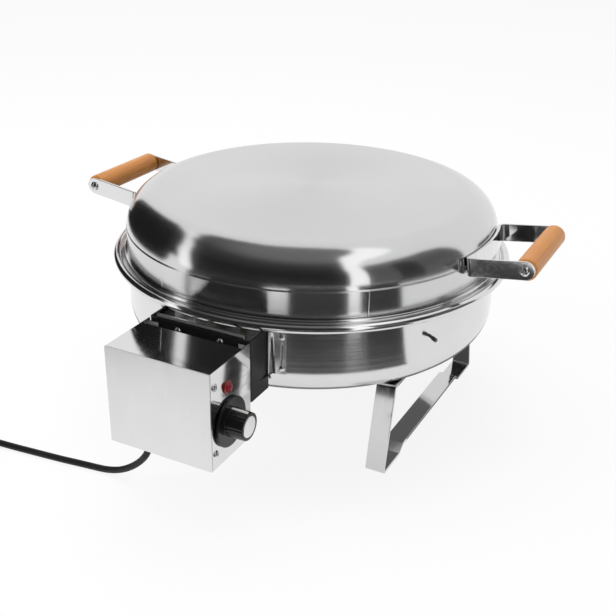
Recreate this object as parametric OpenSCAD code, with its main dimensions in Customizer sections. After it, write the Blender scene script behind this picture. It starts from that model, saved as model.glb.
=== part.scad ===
// Round electric grill: a pan on two bent strip legs, a lift-off lid with two wooden grips,
// and a control box that hangs on a bracket in front of the pan.
// Millimetres, +Z up, control box towards -Y, origin on the table under the middle of the object.

/* [Sheet] */
// Thickness of the pan and lid sheet
sheet_t = 1.2; // [0.8:0.1:2]
// Gap between pieces that lift off and their seats
seat_gap = 0.2; // [0.1:0.05:0.4]
// Gap between pieces that are fixed side by side
fit_gap = 0.1; // [0.05:0.05:0.2]
// Radial clearance of screws and studs in their holes
hole_gap = 0.2; // [0.1:0.05:0.4]

/* [Pan] */
// Outer diameter of the pan wall
pan_d = 390.4; // [360:0.4:430]
// Height of the pan's underside above the table
pan_z = 91; // [79:1:119]
// Depth of the pan, from its underside to the ledge
pan_depth = 85; // [84:1:110]
// Outer radius of the curve between pan wall and floor
pan_curve = 30; // [15:1:33]
// Width of the ledge that carries the lid
ledge_w = 3; // [2.6:0.2:6]
// Width of the gutter between ledge and bead
gutter_w = 4; // [3:0.5:8]
// Diameter of the wired bead around the rim
bead_d = 8.4; // [6:0.2:10]
// Drop of the bead's centre below the ledge
bead_drop = 5; // [4:0.5:7]

/* [Lid] */
// How much wider the lid's upright band is than the pan wall
lid_over = 0.8; // [0:0.2:2.6]
// Height of the upright band
lid_band = 25; // [18:1:40]
// Outer radius of the lid's shoulder
lid_shoulder = 36; // [26:1:44]
// Step between band and shoulder
lid_step = 0.5; // [0.3:0.1:0.8]
// Rise of the crowned top
lid_crown = 3; // [1:0.5:10]

/* [Handles] */
// Distance from the lid's band to a grip's axis
grip_out = 50.4; // [42.4:1:74.4]
// Height of the grips above the lid's foot
grip_rise = 35; // [30:1:42]
// Diameter of the wooden grips
grip_d = 22; // [19:1:28]
// Distance over the two arms of a handle
grip_span = 109.2; // [80:0.4:130]
// Width of the handle strip
arm_w = 18; // [14:1:22]
// Thickness of the handle strip
arm_t = 3; // [2:0.5:4]
// Upward slope of the arms
arm_slope = 8; // [5:1:11]
// Distance between the two studs of a handle
stud_gap = 32; // [24:1:44]

/* [Legs] */
// Distance from the pan wall to the middle of a leg
leg_in = 56.2; // [45.2:1:95.2]
// Width of the leg strip
leg_w = 20; // [14:1:26]
// Thickness of the leg strip
leg_t = 3; // [2:0.5:4]
// Reach of the feet in front of the pan's axis
foot_front = 129; // [115:1:160]
// Reach of the feet behind the pan's axis
foot_back = 129; // [115:1:160]
// Length of each foot on the table
foot_len = 38; // [25:1:46]
// Height of the raised span between the feet
span_lift = 10; // [8:0.5:16]
// Lean of the arms towards the pan
leg_lean = 12; // [0:1:14]
// Distance from the pan's axis to a leg's inner ends
tab_end = 40; // [30:1:46]

/* [Control box] */
// Width of the control box
box_w = 107.6; // [100:0.4:130]
// Depth of the control box
box_d = 66; // [62:1:90]
// Height of the control box
box_h = 96; // [90:1:120]
// Height of the box's underside above the table
box_z = 69; // [59:1:79]
// Gap between the pan's rim and the back of the box
box_off = 13; // [10:0.5:30]
// Thickness of the box sheet
box_t = 1.2; // [0.8:0.1:2]
// Gap behind the top of the box
vent_gap = 12; // [9:1:20]
// Depth of the front panel's side flanges
flange_d = 11; // [9:0.5:12]

/* [Bracket] */
// Height of the bracket's lower edge above the table
bracket_z = 104; // [97:1:109]
// Height of the bracket
bracket_h = 62; // [58:1:66]
// Thickness of the bracket plate
bracket_t = 2; // [1.5:0.25:3]
// Height of the wall frame's lower edge above the table
frame_z = 119; // [113:1:121]
// Height of the wall frame's wings
frame_h = 44; // [38:1:46]
// Thickness of the wall frame
frame_t = 1.5; // [1:0.25:2]
// Width of each wing on the pan wall
wing_w = 19; // [15:1:30]
// Height of the frame's face above the wings
lip_h = 7; // [5:1:9]

/* [Controls] */
// Distance from the front of the box to the knob's axis
knob_in = 29.6; // [28:0.2:32]
// Height of the knob's axis above the box's underside
knob_rise = 36.5; // [33:0.5:40]
// Diameter of the knob's grip
knob_d = 27; // [22:1:32]
// Diameter of the knob's skirt
skirt_d = 47; // [36:1:50]
// Length of the knob
knob_len = 20; // [16:1:26]
// Diameter of the thermostat spindle
spindle_d = 6; // [4:0.5:8]
// Diameter of the lamp lens
lamp_d = 9.2; // [8:0.2:12]
// Height of the lamp above the box's underside
lamp_rise = 72; // [70:1:78]

/* [Heating] */
// Diameter of the element's tube
element_d = 8; // [6.4:0.2:10]
// Radius of the element's loop
loop_r = 130; // [110:1:140]
// Height of the element above the pan's underside
element_rise = 36; // [33:1:42]
// Bend radius of the element's ends
end_bend = 16; // [12:1:24]
// Distance between the element's ends
end_gap = 36; // [30:1:44]

/* [Tray and grate] */
// Gap between the rim of the drip tray and the pan wall
tray_gap = 18; // [13:1:29]
// Depth of the drip tray
tray_depth = 17; // [12:1:20]
// Width of the tray's flat rim
tray_rim = 10; // [8:1:14]
// Thickness of the tray sheet
tray_t = 1; // [0.8:0.1:1.6]
// Diameter of the grate's ring wire
ring_wire = 5; // [4:0.5:7]
// Diameter of the grate's bars
bar_wire = 4; // [3:0.5:5]
// Distance between the grate's bars
bar_pitch = 16; // [12:1:24]

/* [Cord] */
// Diameter of the mains cord
cord_d = 6.6; // [6:0.2:7]
// Number of turns in the coil
coil_turns = 5.25; // [3.25:1:5.25]
// Radius of the coil's innermost turn
coil_in = 26.3; // [26:0.1:30]
// Distance from turn to turn
coil_pitch = 7.4; // [7.4:0.1:8]

/* [Hidden] */
$fn = 96;
round_fn = 180;
bend_steps = 6;

pan_r = pan_d / 2;
pan_in = pan_r - sheet_t;
pan_floor = pan_z + sheet_t;
rim_z = pan_z + pan_depth;
wall_top = rim_z - sheet_t;
gutter_lean = 1.2;
bead_r = bead_d / 2;
bead_at = pan_r + ledge_w + gutter_w + bead_r - 0.6;
bead_z = rim_z - bead_drop;
rim_r = bead_at + bead_r;
edge_bend = 1;

lid_r = (pan_d + lid_over) / 2;
lid_z = rim_z + seat_gap;
shoulder_r = lid_r - lid_step;
shoulder_at = shoulder_r - lid_shoulder;
shoulder_z = lid_z + lid_band;
band_lap = 0.4;
crown_steps = 8;

grip_reach = lid_r + grip_out;
grip_z = lid_z + grip_rise;
slope_x = cos(arm_slope);
slope_z = sin(arm_slope);
grip_along = grip_reach * slope_x + grip_z * slope_z;
shoulder_along = shoulder_at * slope_x + shoulder_z * slope_z + lid_shoulder;
band_along = lid_r * slope_x + (shoulder_z + band_lap) * slope_z;
arm_len = grip_along - max(shoulder_along, band_along) - fit_gap;
stud_r = 2.5;
stud_len = 10;
nut_w = 8;
nut_h = 4;
nut_seat = 1.7;
screw_r = 2;
screw_len = 22;
screw_head_d = 10;
screw_head_h = 3.4;
grip_chamfer = 1.2;
arm_bend = 4;
hug_r = lid_r + arm_t / 2 + 0.35;
hug_steps = 3;

leg_gap = pan_d - 2 * leg_in;
leg_bolt_r = 2.5;
leg_bolt_in = 12;
leg_head_d = 9.5;
leg_head_h = 3.2;
leg_bend = 2.5;
riser_run = 11;

box_back = rim_r + box_off;
box_front = box_back + box_d;
box_top = box_z + box_h;
box_x = box_w / 2;
seam = 0.4;
panel_screw_r = 1.75;
panel_head_d = 7.4;
panel_head_h = 2.2;
panel_screw_in = 7;
panel_screw_up = 15;
back_flange = 11;
box_screw_in = 7.8;
box_screw_x = box_x - box_screw_in;
box_screw_low = 8;
box_screw_high = 45;
box_screw_zs = [bracket_z + box_screw_low, bracket_z + box_screw_high];
box_screw_r = 1.75;
box_head_d = 7;
box_head_h = 2.2;
box_screw_len = 9;

bracket_x = box_x - bracket_t / 2;
face_y = box_back - bracket_t / 2;
bracket_bend = 3;
frame_x = box_x - bracket_t - fit_gap - frame_t / 2;
frame_y = box_back - bracket_t - fit_gap - frame_t / 2;
frame_top = frame_z + frame_h;
wing_r = pan_r + fit_gap / 2;
wing_out = wing_r + frame_t;
wing_from = asin((frame_x - frame_t / 2) / wing_out);
wing_to = asin((frame_x - frame_t / 2 + wing_w) / wing_out);
wing_at = asin((frame_x - frame_t / 2 + wing_w - 4) / wing_out);
hem_d = 5;
hem_x = box_x + fit_gap;
cheek_back = sqrt(pow(wing_out, 2) - pow(box_x - bracket_t, 2)) + seat_gap;
rivet_r = 1.6;
rivet_head_d = 6;
rivet_head_h = 1.4;
rivet_in = 6;
hang_x = 22.6;
hang_z = bracket_z + bracket_h - 8;
hang_r = 2;
hang_head_d = 8;
hang_head_h = 2.6;
hang_nut_w = 7;
hang_nut_h = 3.2;

knob_y = knob_in - box_front;
knob_z = box_z + knob_rise;
knob_gap = 0.6;
skirt_h = 2.5;
knob_taper = 0.6;
cap_d = 20;
cap_sink = 0.8;
cap_t = 1;
pointer_w = 2;
spindle_gap = 0.05;
spindle_in = 12;
spindle_out = 14;
spindle_flat = 1;
knob_spare = 0.5;
collar_r = 5;
collar_h = 2;
thermostat_w = 32;
thermostat_d = 26;
lamp_in = 27;
lamp_y = lamp_in - box_front;
lamp_z = box_z + lamp_rise;
lamp_flange = 1.5;
lamp_neck_r = 4;
lamp_neck = 5;
lamp_body_d = 10;
lamp_body_len = 20;
block_size = [36, 18, 16];
block_x = 8;
block_in = 14;
block_poles = 3;

element_r = element_d / 2;
element_z = pan_z + element_rise;
end_x = end_gap / 2;
end_turn = asin((end_x + end_bend) / (loop_r + end_bend));
end_y = (loop_r + end_bend) * cos(end_turn);
end_reach = box_back + 15;
end_steps = 6;
loop_steps = 60;
element_sides = 10;
bush_bore = element_r + fit_gap / 2;
bush_r = element_r + 1.6;
bush_flange_r = element_r + 4;
bush_flange_h = 2;
bush_in = sqrt(pow(pan_in, 2) - pow(end_x + bush_flange_r, 2)) - fit_gap;
bush_out = sqrt(pow(pan_r, 2) - pow(end_x - bush_flange_r, 2)) + fit_gap;
bush_nut_w = 15;
bush_nut_h = 5;
pass_r = element_r + 2;

clip_w = 12;
clip_t = 1.5;
clip_at = loop_r + element_r + 3.5;
clip_in = 18;
clip_over = 4;
clip_top = element_z + element_r + clip_over;
clip_turns = [90, 210, 330];

tray_r = pan_in - tray_gap;
tray_z = clip_top + seat_gap;
tray_top = tray_z + tray_depth;
tray_wall_r = tray_r - tray_rim;
tray_flare = 12;
ring_r = tray_r - tray_rim / 2;
ring_z = tray_top + ring_wire / 2 + seat_gap;
bar_sink = 1;
bar_z = ring_z + (ring_wire + bar_wire) / 2 - bar_sink;
bar_count = floor((ring_r - 6) / bar_pitch);
tie_bar_at = ring_r * 0.5;

peg_turn = 62;
peg_drop = 32;
peg_z = rim_z - peg_drop;
peg_droop = 9;
peg_r = 1.6;
peg_shank = 4;
peg_head_d = 4.2;
peg_head = 6.5;
peg_nut_w = 7;
peg_nut_h = 3;

cord_r = cord_d / 2;
cord_low = cord_r + 0.1;
cord_sides = 8;
coil_sides = 6;
coil_rings = 24;
gland_side = 15.8;
gland_in = 32;
gland_x = gland_side - box_x;
gland_y = gland_in - box_front;
gland_flange_r = 8.5;
gland_flange_h = 2;
gland_neck_r = 6;
gland_tail = 20;
gland_end_r = 4.7;
gland_end = box_z - gland_flange_h - gland_tail;
tie_t = 0.8;
tie_w = 6;
tie_gap = 0.3;
tie_turn = 300;
coil_z = 0.05 + tie_t + tie_gap + cord_r;
coil_half = coil_turns / 2;
coil_out = coil_in + coil_pitch * coil_half;
coil_side = 220;
coil_off = 14;
coil_x = gland_x - coil_side;
coil_y = gland_y - coil_off - coil_out;
coil_top = coil_z + coil_pitch;
plug_r = 18.5;
plug_z = plug_r + 0.1;
plug_x = coil_x - coil_out;
tail_len = 44;
plug_y = coil_y - tail_len;
plug_len = 46;
plug_tail_r = 6;
plug_tail = 12;
plug_grip = 22;
plug_lip = 10;
plug_step = 4;
plug_slot = 8;
pin_r = 2.4;
pin_len = 19;
pin_gap = 19;
pin_in = 8;

// Route of the cord from the gland to the coil: steps to the left, to the front, and height
route_step = 1;
route_turns = [
    [0.6, 0, 43],
    [4, 0, 36.5],
    [10.2, -0.4, 28.7],
    [18.2, -0.4, 21.2],
    [28.1, -0.5, 14.2],
    [38.9, -0.9, 8.6],
    [51.5, -1.2, 4.6],
    [62.8, -0.5, 0],
    [82.1, 2, 0],
    [104.5, 5.1, 0],
    [131.9, 8.1, 0],
    [159.4, 11.2, 3.6],
    [184.8, 13.6, 4]
];
lead_len = 14;
cord_route = concat(
    [[gland_x, gland_y, gland_end]],
    [
        for (p = route_turns)
            [gland_x - p[0] * route_step, gland_y - p[1] * route_step, max(cord_low, p[2] * route_step)]
    ],
    [[coil_x + lead_len, gland_y - coil_off, coil_z], [coil_x, gland_y - coil_off, coil_z]]
);

// Route of the cord from the coil to the plug: shares of its length and of its rise
tail_turns = [[0, 0], [0.16, 0], [0.34, 0.1], [0.5, 0.5], [0.66, 0.9], [0.84, 1], [1, 1]];
tail_route = [
    for (p = tail_turns)
        [plug_x, coil_y - tail_len * p[0], coil_top + (plug_z - coil_top) * p[1]]
];

// The pan's axis lies behind the middle of the object, because the box stands out in front
axis_y = (box_front - rim_r) / 2;

// Plain vectors
function unit(v) = v / norm(v);
function left_of(v) = [-v[1], v[0]];
function turned(v, a) = [v[0] * cos(a) - v[1] * sin(a), v[0] * sin(a) + v[1] * cos(a)];

// Arc that rounds the corner b of the path a, b, c
function corner_arc(a, b, c, r) =
    let (u = unit(b - a), w = unit(c - b))
    let (bend = acos(max(-1, min(1, u * w))), side = sign(u[0] * w[1] - u[1] * w[0]))
    let (start = b - u * r * tan(bend / 2))
    let (middle = start + left_of(u) * side * r)
    [for (i = [0 : bend_steps]) middle + turned(start - middle, side * bend * i / bend_steps)];

// Path with every corner rounded to a radius along its middle line
function rounded(p, r) = [
    p[0],
    for (i = [1 : len(p) - 2]) each corner_arc(p[i - 1], p[i], p[i + 1], r),
    p[len(p) - 1]
];

// Direction square to a path at one of its points, long enough to keep the strip's thickness
function mitre(p, i) =
    let (u = unit(p[max(i, 1)] - p[max(i, 1) - 1]))
    let (last = len(p) - 2)
    let (w = unit(p[min(i, last) + 1] - p[min(i, last)]))
    let (n = unit(left_of(u) + left_of(w)))
    n / (n * left_of(u));

function beside(p, d) = [for (i = [0 : len(p) - 1]) p[i] + mitre(p, i) * d];
function reversed(p) = [for (i = [len(p) - 1 : -1 : 0]) p[i]];

// Outline of a bent strip along its middle line
module strip(path, t) {
    polygon(concat(beside(path, -t / 2), reversed(beside(path, t / 2))));
}

// Upright strip profile in the Y-Z plane, spread evenly to both sides of X = 0
module across(w) {
    rotate([90, 0, 90])
        linear_extrude(height = w, center = true)
            children();
}

// Ring of points around a route at one of its points
function route_dir(p, i) = unit(p[min(i + 1, len(p) - 1)] - p[max(i - 1, 0)]);
function side_dir(d) = unit(cross(abs(d[2]) > 0.9 ? [0, 1, 0] : [0, 0, 1], d));
function ring_at(c, d, r, sides) =
    let (a = side_dir(d), b = cross(d, a))
    [for (k = [0 : sides - 1]) c + r * (a * cos(360 * k / sides) + b * sin(360 * k / sides))];

// Closed tube of triangles from a list of rings
module tube(rings, sides) {
    n = len(rings);
    points = [for (ring = rings) each ring];
    walls = [
        for (i = [0 : n - 2], k = [0 : sides - 1])
            let (a = i * sides + k, b = i * sides + (k + 1) % sides)
            each [[a, b, a + sides], [b, b + sides, a + sides]]
    ];
    start_cap = [for (k = [1 : sides - 2]) [0, k + 1, k]];
    end_at = (n - 1) * sides;
    end_cap = [for (k = [1 : sides - 2]) [end_at, end_at + k, end_at + k + 1]];
    polyhedron(points, concat(walls, start_cap, end_cap));
}

// Smooth curve through a route, with a few points between each pair
function curve_point(p, i, t) =
    let (a = p[max(i - 1, 0)], b = p[i], c = p[i + 1], d = p[min(i + 2, len(p) - 1)])
    0.5 * (2 * b + (c - a) * t + (2 * a - 5 * b + 4 * c - d) * t * t
        + (3 * b - a - 3 * c + d) * t * t * t);
function curve(p, steps) = concat(
    [for (i = [0 : len(p) - 2], k = [0 : steps - 1]) curve_point(p, i, k / steps)],
    [p[len(p) - 1]]
);

// Stretch of cord that starts and ends square to what it meets
module cord_stretch(route, steps, first_dir, last_dir) {
    line = curve(route, steps);
    last = len(line) - 1;
    dirs = [for (i = [0 : last]) i == 0 ? first_dir : i == last ? last_dir : route_dir(line, i)];
    sides = cord_sides;
    tube([for (i = [0 : last]) ring_at(line[i], dirs[i], cord_r, sides)], sides);
}

// Coil: the turns spiral in on the table, climb as they turn back and spiral out on top
function coil_radius(t) =
    let (s = abs(t - coil_half))
    coil_in + coil_pitch * (s < 0.25 ? 2 * s * s + 0.125 : s);
function coil_climb(t) =
    let (s = max(0, min(1, (t - coil_half + 0.25) * 2)))
    coil_pitch * s * s * (3 - 2 * s);
function coil_point(t) =
    let (a = 90 + 360 * t, r = coil_radius(t))
    [coil_x + r * cos(a), coil_y + r * sin(a), coil_z + coil_climb(t)];
function coil_dir(t) = unit(coil_point(t + 0.01) - coil_point(t - 0.01));

coil_n = round(coil_turns * coil_rings);
coil_line = [for (i = [0 : coil_n]) coil_point(coil_turns * i / coil_n)];
coil_self_gap = min([
    for (i = [0 : coil_n - 12], j = [i + 12 : coil_n]) norm(coil_line[i] - coil_line[j])
]) - cord_d;
echo(coil_self_gap = coil_self_gap);

// Half outline of a low dome on the XY plane
module dome(d, h) {
    crown = (d * d / 4 + h * h) / (2 * h);
    intersection() {
        translate([0, h - crown]) circle(crown);
        square([d, h + 1]);
    }
}

// Round screw head with a crossed recess, its flat seat on the XY plane
module domed_head(d, h) {
    difference() {
        rotate_extrude() dome(d, h);
        for (a = [0, 90])
            rotate(a)
                translate([-d * 0.28, -d * 0.06, h * 0.45])
                    cube([d * 0.56, d * 0.12, h]);
    }
}

// Screw with its head's seat on the XY plane and its shank along -Z
module screw(r, len, head_d, head_h) {
    domed_head(head_d, head_h);
    translate([0, 0, -len]) cylinder(r = r, h = len + head_h * 0.3);
}

// Hexagonal nut on the XY plane
module hex_nut(across_flats, h, bore) {
    difference() {
        cylinder(d = across_flats / cos(30), h = h, $fn = 6);
        translate([0, 0, -1]) cylinder(r = bore, h = h + 2);
    }
}

// Places on the pan wall: turn counts from the front, towards +X; +Z then points outward
module on_wall(turn, r, z) {
    rotate(turn)
        translate([0, -r, z])
            rotate([90, 0, 0])
                children();
}

// Both sides of the object
module both_sides() {
    children();
    mirror([1, 0, 0]) children();
}

// Half outline of a filled dish with a rounded lower edge
module dish(r, low, high, curve) {
    translate([0, low + curve]) square([r, high - low - curve]);
    translate([0, low]) square([r - curve, curve + 1]);
    translate([r - curve, low + curve]) circle(curve, $fn = round_fn);
}

// Pan: floor, curve and wall as one revolved sheet
module pan_profile() {
    difference() {
        dish(pan_r, pan_z, wall_top, pan_curve);
        dish(pan_in, pan_floor, rim_z, pan_curve - sheet_t);
    }
}

// Rim: ledge, gutter and wired bead in one rolled ring, welded to the wall's upper edge
module pan_rim() {
    ledge_mid = rim_z - sheet_t / 2;
    brow = [
        [pan_in, ledge_mid],
        [pan_r + ledge_w, ledge_mid],
        [pan_r + ledge_w + gutter_lean, bead_z],
        [bead_at, bead_z]
    ];
    color("silver")
        rotate_extrude($fn = round_fn) {
            strip(rounded(brow, edge_bend), sheet_t);
            translate([bead_at, bead_z]) circle(bead_r);
        }
}

module leg_bolt_places() {
    for (x = [-1, 1], y = [-1, 1])
        translate([x * leg_gap / 2, y * (tab_end + leg_bolt_in), 0])
            children();
}

module rivet_places() {
    for (side = [-1, 1], z = [frame_z + rivet_in, frame_top - rivet_in])
        on_wall(side * wing_at, wing_out, z)
            children();
}

module element_ends() {
    for (x = [-1, 1])
        translate([x * end_x, 0, element_z])
            rotate([90, 0, 0])
                children();
}

module peg_place() {
    on_wall(peg_turn, pan_r, peg_z)
        rotate([peg_droop, 0, 0])
            children();
}

module pan() {
    color("silver")
        difference() {
            rotate_extrude($fn = round_fn) pan_profile();
            leg_bolt_places()
                translate([0, 0, pan_z - 1]) cylinder(r = leg_bolt_r + hole_gap, h = sheet_t + 2);
            rivet_places()
                translate([0, 0, -6]) cylinder(r = rivet_r + hole_gap / 2, h = 12);
            element_ends()
                translate([0, 0, pan_in - 10]) cylinder(r = bush_r + hole_gap, h = 20);
            peg_place()
                translate([0, 0, -6]) cylinder(r = peg_r + hole_gap, h = 12);
        }
}

// Leg: one strip bent into two arms, two feet and a raised span
module leg(side) {
    tab_z = pan_z - leg_t / 2;
    foot_z = leg_t / 2;
    span_z = span_lift - leg_t / 2;
    lean = (tab_z - foot_z) * tan(leg_lean);
    front = leg_t / 2 - foot_front;
    back = foot_back - leg_t / 2;
    path = [
        [-tab_end, tab_z],
        [front + lean, tab_z],
        [front, foot_z],
        [front + foot_len, foot_z],
        [front + foot_len + riser_run, span_z],
        [back - foot_len - riser_run, span_z],
        [back - foot_len, foot_z],
        [back, foot_z],
        [back - lean, tab_z],
        [tab_end, tab_z]
    ];
    color("gainsboro")
        difference() {
            translate([side * leg_gap / 2, 0, 0])
                across(leg_w) strip(rounded(path, leg_bend), leg_t);
            leg_bolt_places()
                translate([0, 0, pan_z - leg_t - 1])
                    cylinder(r = leg_bolt_r + hole_gap, h = leg_t + 2);
        }
}

module left_leg() {
    leg(-1);
}

module right_leg() {
    leg(1);
}

module leg_bolts() {
    grip_len = leg_t + sheet_t + nut_h + 1;
    color("lightgray")
        leg_bolt_places()
            translate([0, 0, pan_z - leg_t])
                mirror([0, 0, 1])
                    screw(leg_bolt_r, grip_len, leg_head_d, leg_head_h);
}

module leg_nuts() {
    color("lightgray")
        leg_bolt_places()
            translate([0, 0, pan_floor])
                hex_nut(nut_w, nut_h, leg_bolt_r + fit_gap / 2);
}

// Element: an open loop whose ends turn forward, through the pan wall into the box
function loop_points(n) = [
    for (i = [0 : n])
        let (a = end_turn + (360 - 2 * end_turn) * i / n - 90)
        loop_r * [cos(a), sin(a)]
];
function end_points(side, n) = [
    for (i = [0 : n])
        let (a = 180 - (90 - end_turn) * i / n)
        [side * (end_x + end_bend + end_bend * cos(a)), end_bend * sin(a) - end_y]
];
function element_points() = concat(
    [[end_x, -end_reach], [end_x, -end_y - 40]],
    end_points(1, end_steps),
    [for (i = [1 : loop_steps - 1]) loop_points(loop_steps)[i]],
    reversed(end_points(-1, end_steps)),
    [[-end_x, -end_y - 40], [-end_x, -end_reach]]
);

module heating_element() {
    line = [for (p = element_points()) [p[0], p[1], element_z]];
    last = len(line) - 1;
    rings = [for (i = [0 : last]) ring_at(line[i], route_dir(line, i), element_r, element_sides)];
    color("dimgray") tube(rings, element_sides);
}

// Clips: strips on the pan floor that carry the element on a shelf and the tray on top
module element_clips() {
    low = pan_floor + clip_t / 2;
    high = clip_top - clip_t / 2;
    shelf_z = element_z - element_r - fit_gap - clip_t;
    path = [[clip_at - clip_in, low], [clip_at, low], [clip_at, high], [clip_at - clip_in, high]];
    color("lightgray")
        for (a = clip_turns)
            rotate(a - 90)
                across(clip_w) {
                    strip(rounded(path, clip_t), clip_t);
                    translate([clip_at - clip_in, shelf_z]) square([clip_in, clip_t]);
                }
}

module element_bushings() {
    color("gold")
        element_ends()
            difference() {
                union() {
                    translate([0, 0, bush_in - bush_flange_h])
                        cylinder(r = bush_flange_r, h = bush_flange_h);
                    translate([0, 0, bush_in - 1])
                        cylinder(r = bush_r, h = bush_out + bush_nut_h + 3 - bush_in);
                }
                cylinder(r = bush_bore, h = end_reach);
            }
}

module bushing_nuts() {
    color("gold")
        element_ends()
            translate([0, 0, bush_out])
                hex_nut(bush_nut_w, bush_nut_h, bush_r + fit_gap / 2);
}

// Holes for the element's ends through upright plates in front of the pan
module element_passes() {
    element_ends()
        translate([0, 0, pan_r + 10]) cylinder(r = pass_r, h = end_reach - pan_r);
}

module hang_places() {
    for (x = [-hang_x, hang_x])
        translate([x, -box_back, hang_z])
            rotate([90, 0, 0])
                children();
}

module box_screw_places() {
    for (x = [-box_screw_x, box_screw_x], z = box_screw_zs)
        translate([x, -box_back - box_t, z])
            rotate([90, 0, 0])
                children();
}

// Wall frame: a hat-shaped strip with wings on the pan wall and a face in front of the rim
module wall_frame() {
    inner = sqrt(pow(wing_r, 2) - pow(frame_x, 2)) + frame_t / 2;
    hat = [[frame_x, -inner], [frame_x, -frame_y], [-frame_x, -frame_y], [-frame_x, -inner]];
    hem_back = sqrt(pow(wing_r, 2) - pow(hem_x, 2)) + frame_t / 2;
    lip_x = frame_x - bracket_bend - frame_t;
    color("silver")
        difference() {
            union() {
                translate([0, 0, frame_z])
                    linear_extrude(height = frame_h)
                        strip(rounded(hat, bracket_bend), frame_t);
                translate([-lip_x, -frame_y - frame_t / 2, frame_top - 1])
                    cube([2 * lip_x, frame_t, lip_h + 1]);
                both_sides() {
                    rotate(wing_from - 90)
                        rotate_extrude(angle = wing_to - wing_from, $fn = round_fn)
                            translate([wing_r, frame_z]) square([frame_t, frame_h]);
                    translate([hem_x, -hem_back - hem_d, frame_z])
                        cube([frame_t, hem_d, frame_h]);
                }
            }
            element_passes();
            hang_places()
                translate([0, 0, -20]) cylinder(r = hang_r + hole_gap, h = 20);
            box_screw_places()
                translate([0, 0, -20]) cylinder(r = box_screw_r + hole_gap, h = 20);
            rivet_places()
                translate([0, 0, -6]) cylinder(r = rivet_r + hole_gap / 2, h = 12);
        }
}

module frame_rivets() {
    tail = frame_t + fit_gap / 2 + sheet_t + fit_gap;
    color("white")
        rivet_places() {
            rotate_extrude() dome(rivet_head_d, rivet_head_h);
            translate([0, 0, -tail - 0.5]) cylinder(r = rivet_r, h = tail + 1);
            translate([0, 0, -tail - 1]) cylinder(r = rivet_r + 1, h = 1);
        }
}

// Bracket: a dark channel that stands the control box off the hot pan
module mounting_bracket() {
    channel = [
        [bracket_x, -cheek_back],
        [bracket_x, -face_y],
        [-bracket_x, -face_y],
        [-bracket_x, -cheek_back]
    ];
    color([0.08, 0.08, 0.08])
        difference() {
            translate([0, 0, bracket_z])
                linear_extrude(height = bracket_h)
                    strip(rounded(channel, bracket_bend), bracket_t);
            element_passes();
            hang_places()
                translate([0, 0, -10]) cylinder(r = hang_r + hole_gap, h = 12);
            box_screw_places()
                translate([0, 0, -10]) cylinder(r = box_screw_r + hole_gap, h = 12);
        }
}

module bracket_screws() {
    grip_len = bracket_t + fit_gap + frame_t + hang_nut_h + 1;
    color("lightgray")
        hang_places()
            screw(hang_r, grip_len, hang_head_d, hang_head_h);
}

module bracket_nuts() {
    color("lightgray")
        hang_places()
            translate([0, 0, -bracket_t - fit_gap - frame_t - hang_nut_h])
                hex_nut(hang_nut_w, hang_nut_h, hang_r + fit_gap / 2);
}

// Housing: a folded sleeve, open towards the front panel and closed at the back by the bracket
module control_housing() {
    front = box_front - box_t - seam;
    depth = front - box_back;
    color("silver")
        difference() {
            union() {
                difference() {
                    translate([-box_x, -front, box_z]) cube([box_w, depth, box_h]);
                    translate([-box_x + box_t, -front - 1, box_z + box_t])
                        cube([box_w - 2 * box_t, depth + 2, box_h - 2 * box_t]);
                    translate([-box_x + box_t, -box_back - vent_gap, box_top - 2 * box_t])
                        cube([box_w - 2 * box_t, vent_gap + 1, 3 * box_t]);
                }
                both_sides()
                    translate([box_x - back_flange, -box_back - box_t, bracket_z])
                        cube([back_flange - box_t / 2, box_t, box_top - bracket_z - 2 * box_t]);
            }
            translate([0, knob_y, knob_z])
                rotate([0, 90, 0]) cylinder(r = collar_r + hole_gap, h = box_w);
            translate([0, lamp_y, lamp_z])
                rotate([0, 90, 0]) cylinder(r = lamp_neck_r + hole_gap, h = box_w);
            panel_screw_places()
                translate([0, 0, -10]) cylinder(r = panel_screw_r + hole_gap, h = 12);
            box_screw_places()
                translate([0, 0, -4]) cylinder(r = box_screw_r + hole_gap, h = 5);
            translate([gland_x, gland_y, box_z - 1])
                cylinder(r = gland_neck_r + hole_gap, h = box_t + 2);
        }
}

module housing_screws() {
    color("lightgray")
        box_screw_places()
            screw(box_screw_r, box_screw_len, box_head_d, box_head_h);
}

module panel_screw_places() {
    for (side = [0, 1], z = [box_z + panel_screw_up, box_top - panel_screw_up])
        mirror([side, 0, 0])
            translate([box_x, panel_screw_in - box_front, z])
                rotate([0, 90, 0])
                    children();
}

// Front panel: a tray whose side flanges are screwed inside the sleeve
module front_panel() {
    flange_x = box_x - box_t - fit_gap;
    color("gainsboro")
        difference() {
            union() {
                translate([-box_x, -box_front, box_z]) cube([box_w, box_t, box_h]);
                both_sides()
                    translate([flange_x - box_t, -box_front + box_t / 2, box_z + 2 * box_t])
                        cube([box_t, flange_d, box_h - 4 * box_t]);
            }
            panel_screw_places()
                translate([0, 0, -10]) cylinder(r = panel_screw_r + hole_gap / 2, h = 12);
        }
}

module panel_screws() {
    color("lightgray")
        panel_screw_places()
            screw(panel_screw_r, 2 * box_t + 3, panel_head_d, panel_head_h);
}

// Along the knob's axis, with +Z pointing out of the box's side
module knob_axis() {
    translate([box_x, knob_y, knob_z])
        rotate([0, 90, 0])
            children();
}

module thermostat() {
    color("ivory")
        knob_axis()
            difference() {
                union() {
                    translate([-thermostat_w / 2, -thermostat_w / 2, -box_t - thermostat_d])
                        cube([thermostat_w, thermostat_w, thermostat_d - fit_gap]);
                    translate([0, 0, -box_t - 1]) cylinder(r = collar_r, h = box_t + 1);
                }
                translate([0, 0, -box_t - spindle_in])
                    cylinder(d = spindle_d + 2 * spindle_gap, h = spindle_in + collar_h + 1);
            }
}

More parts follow.
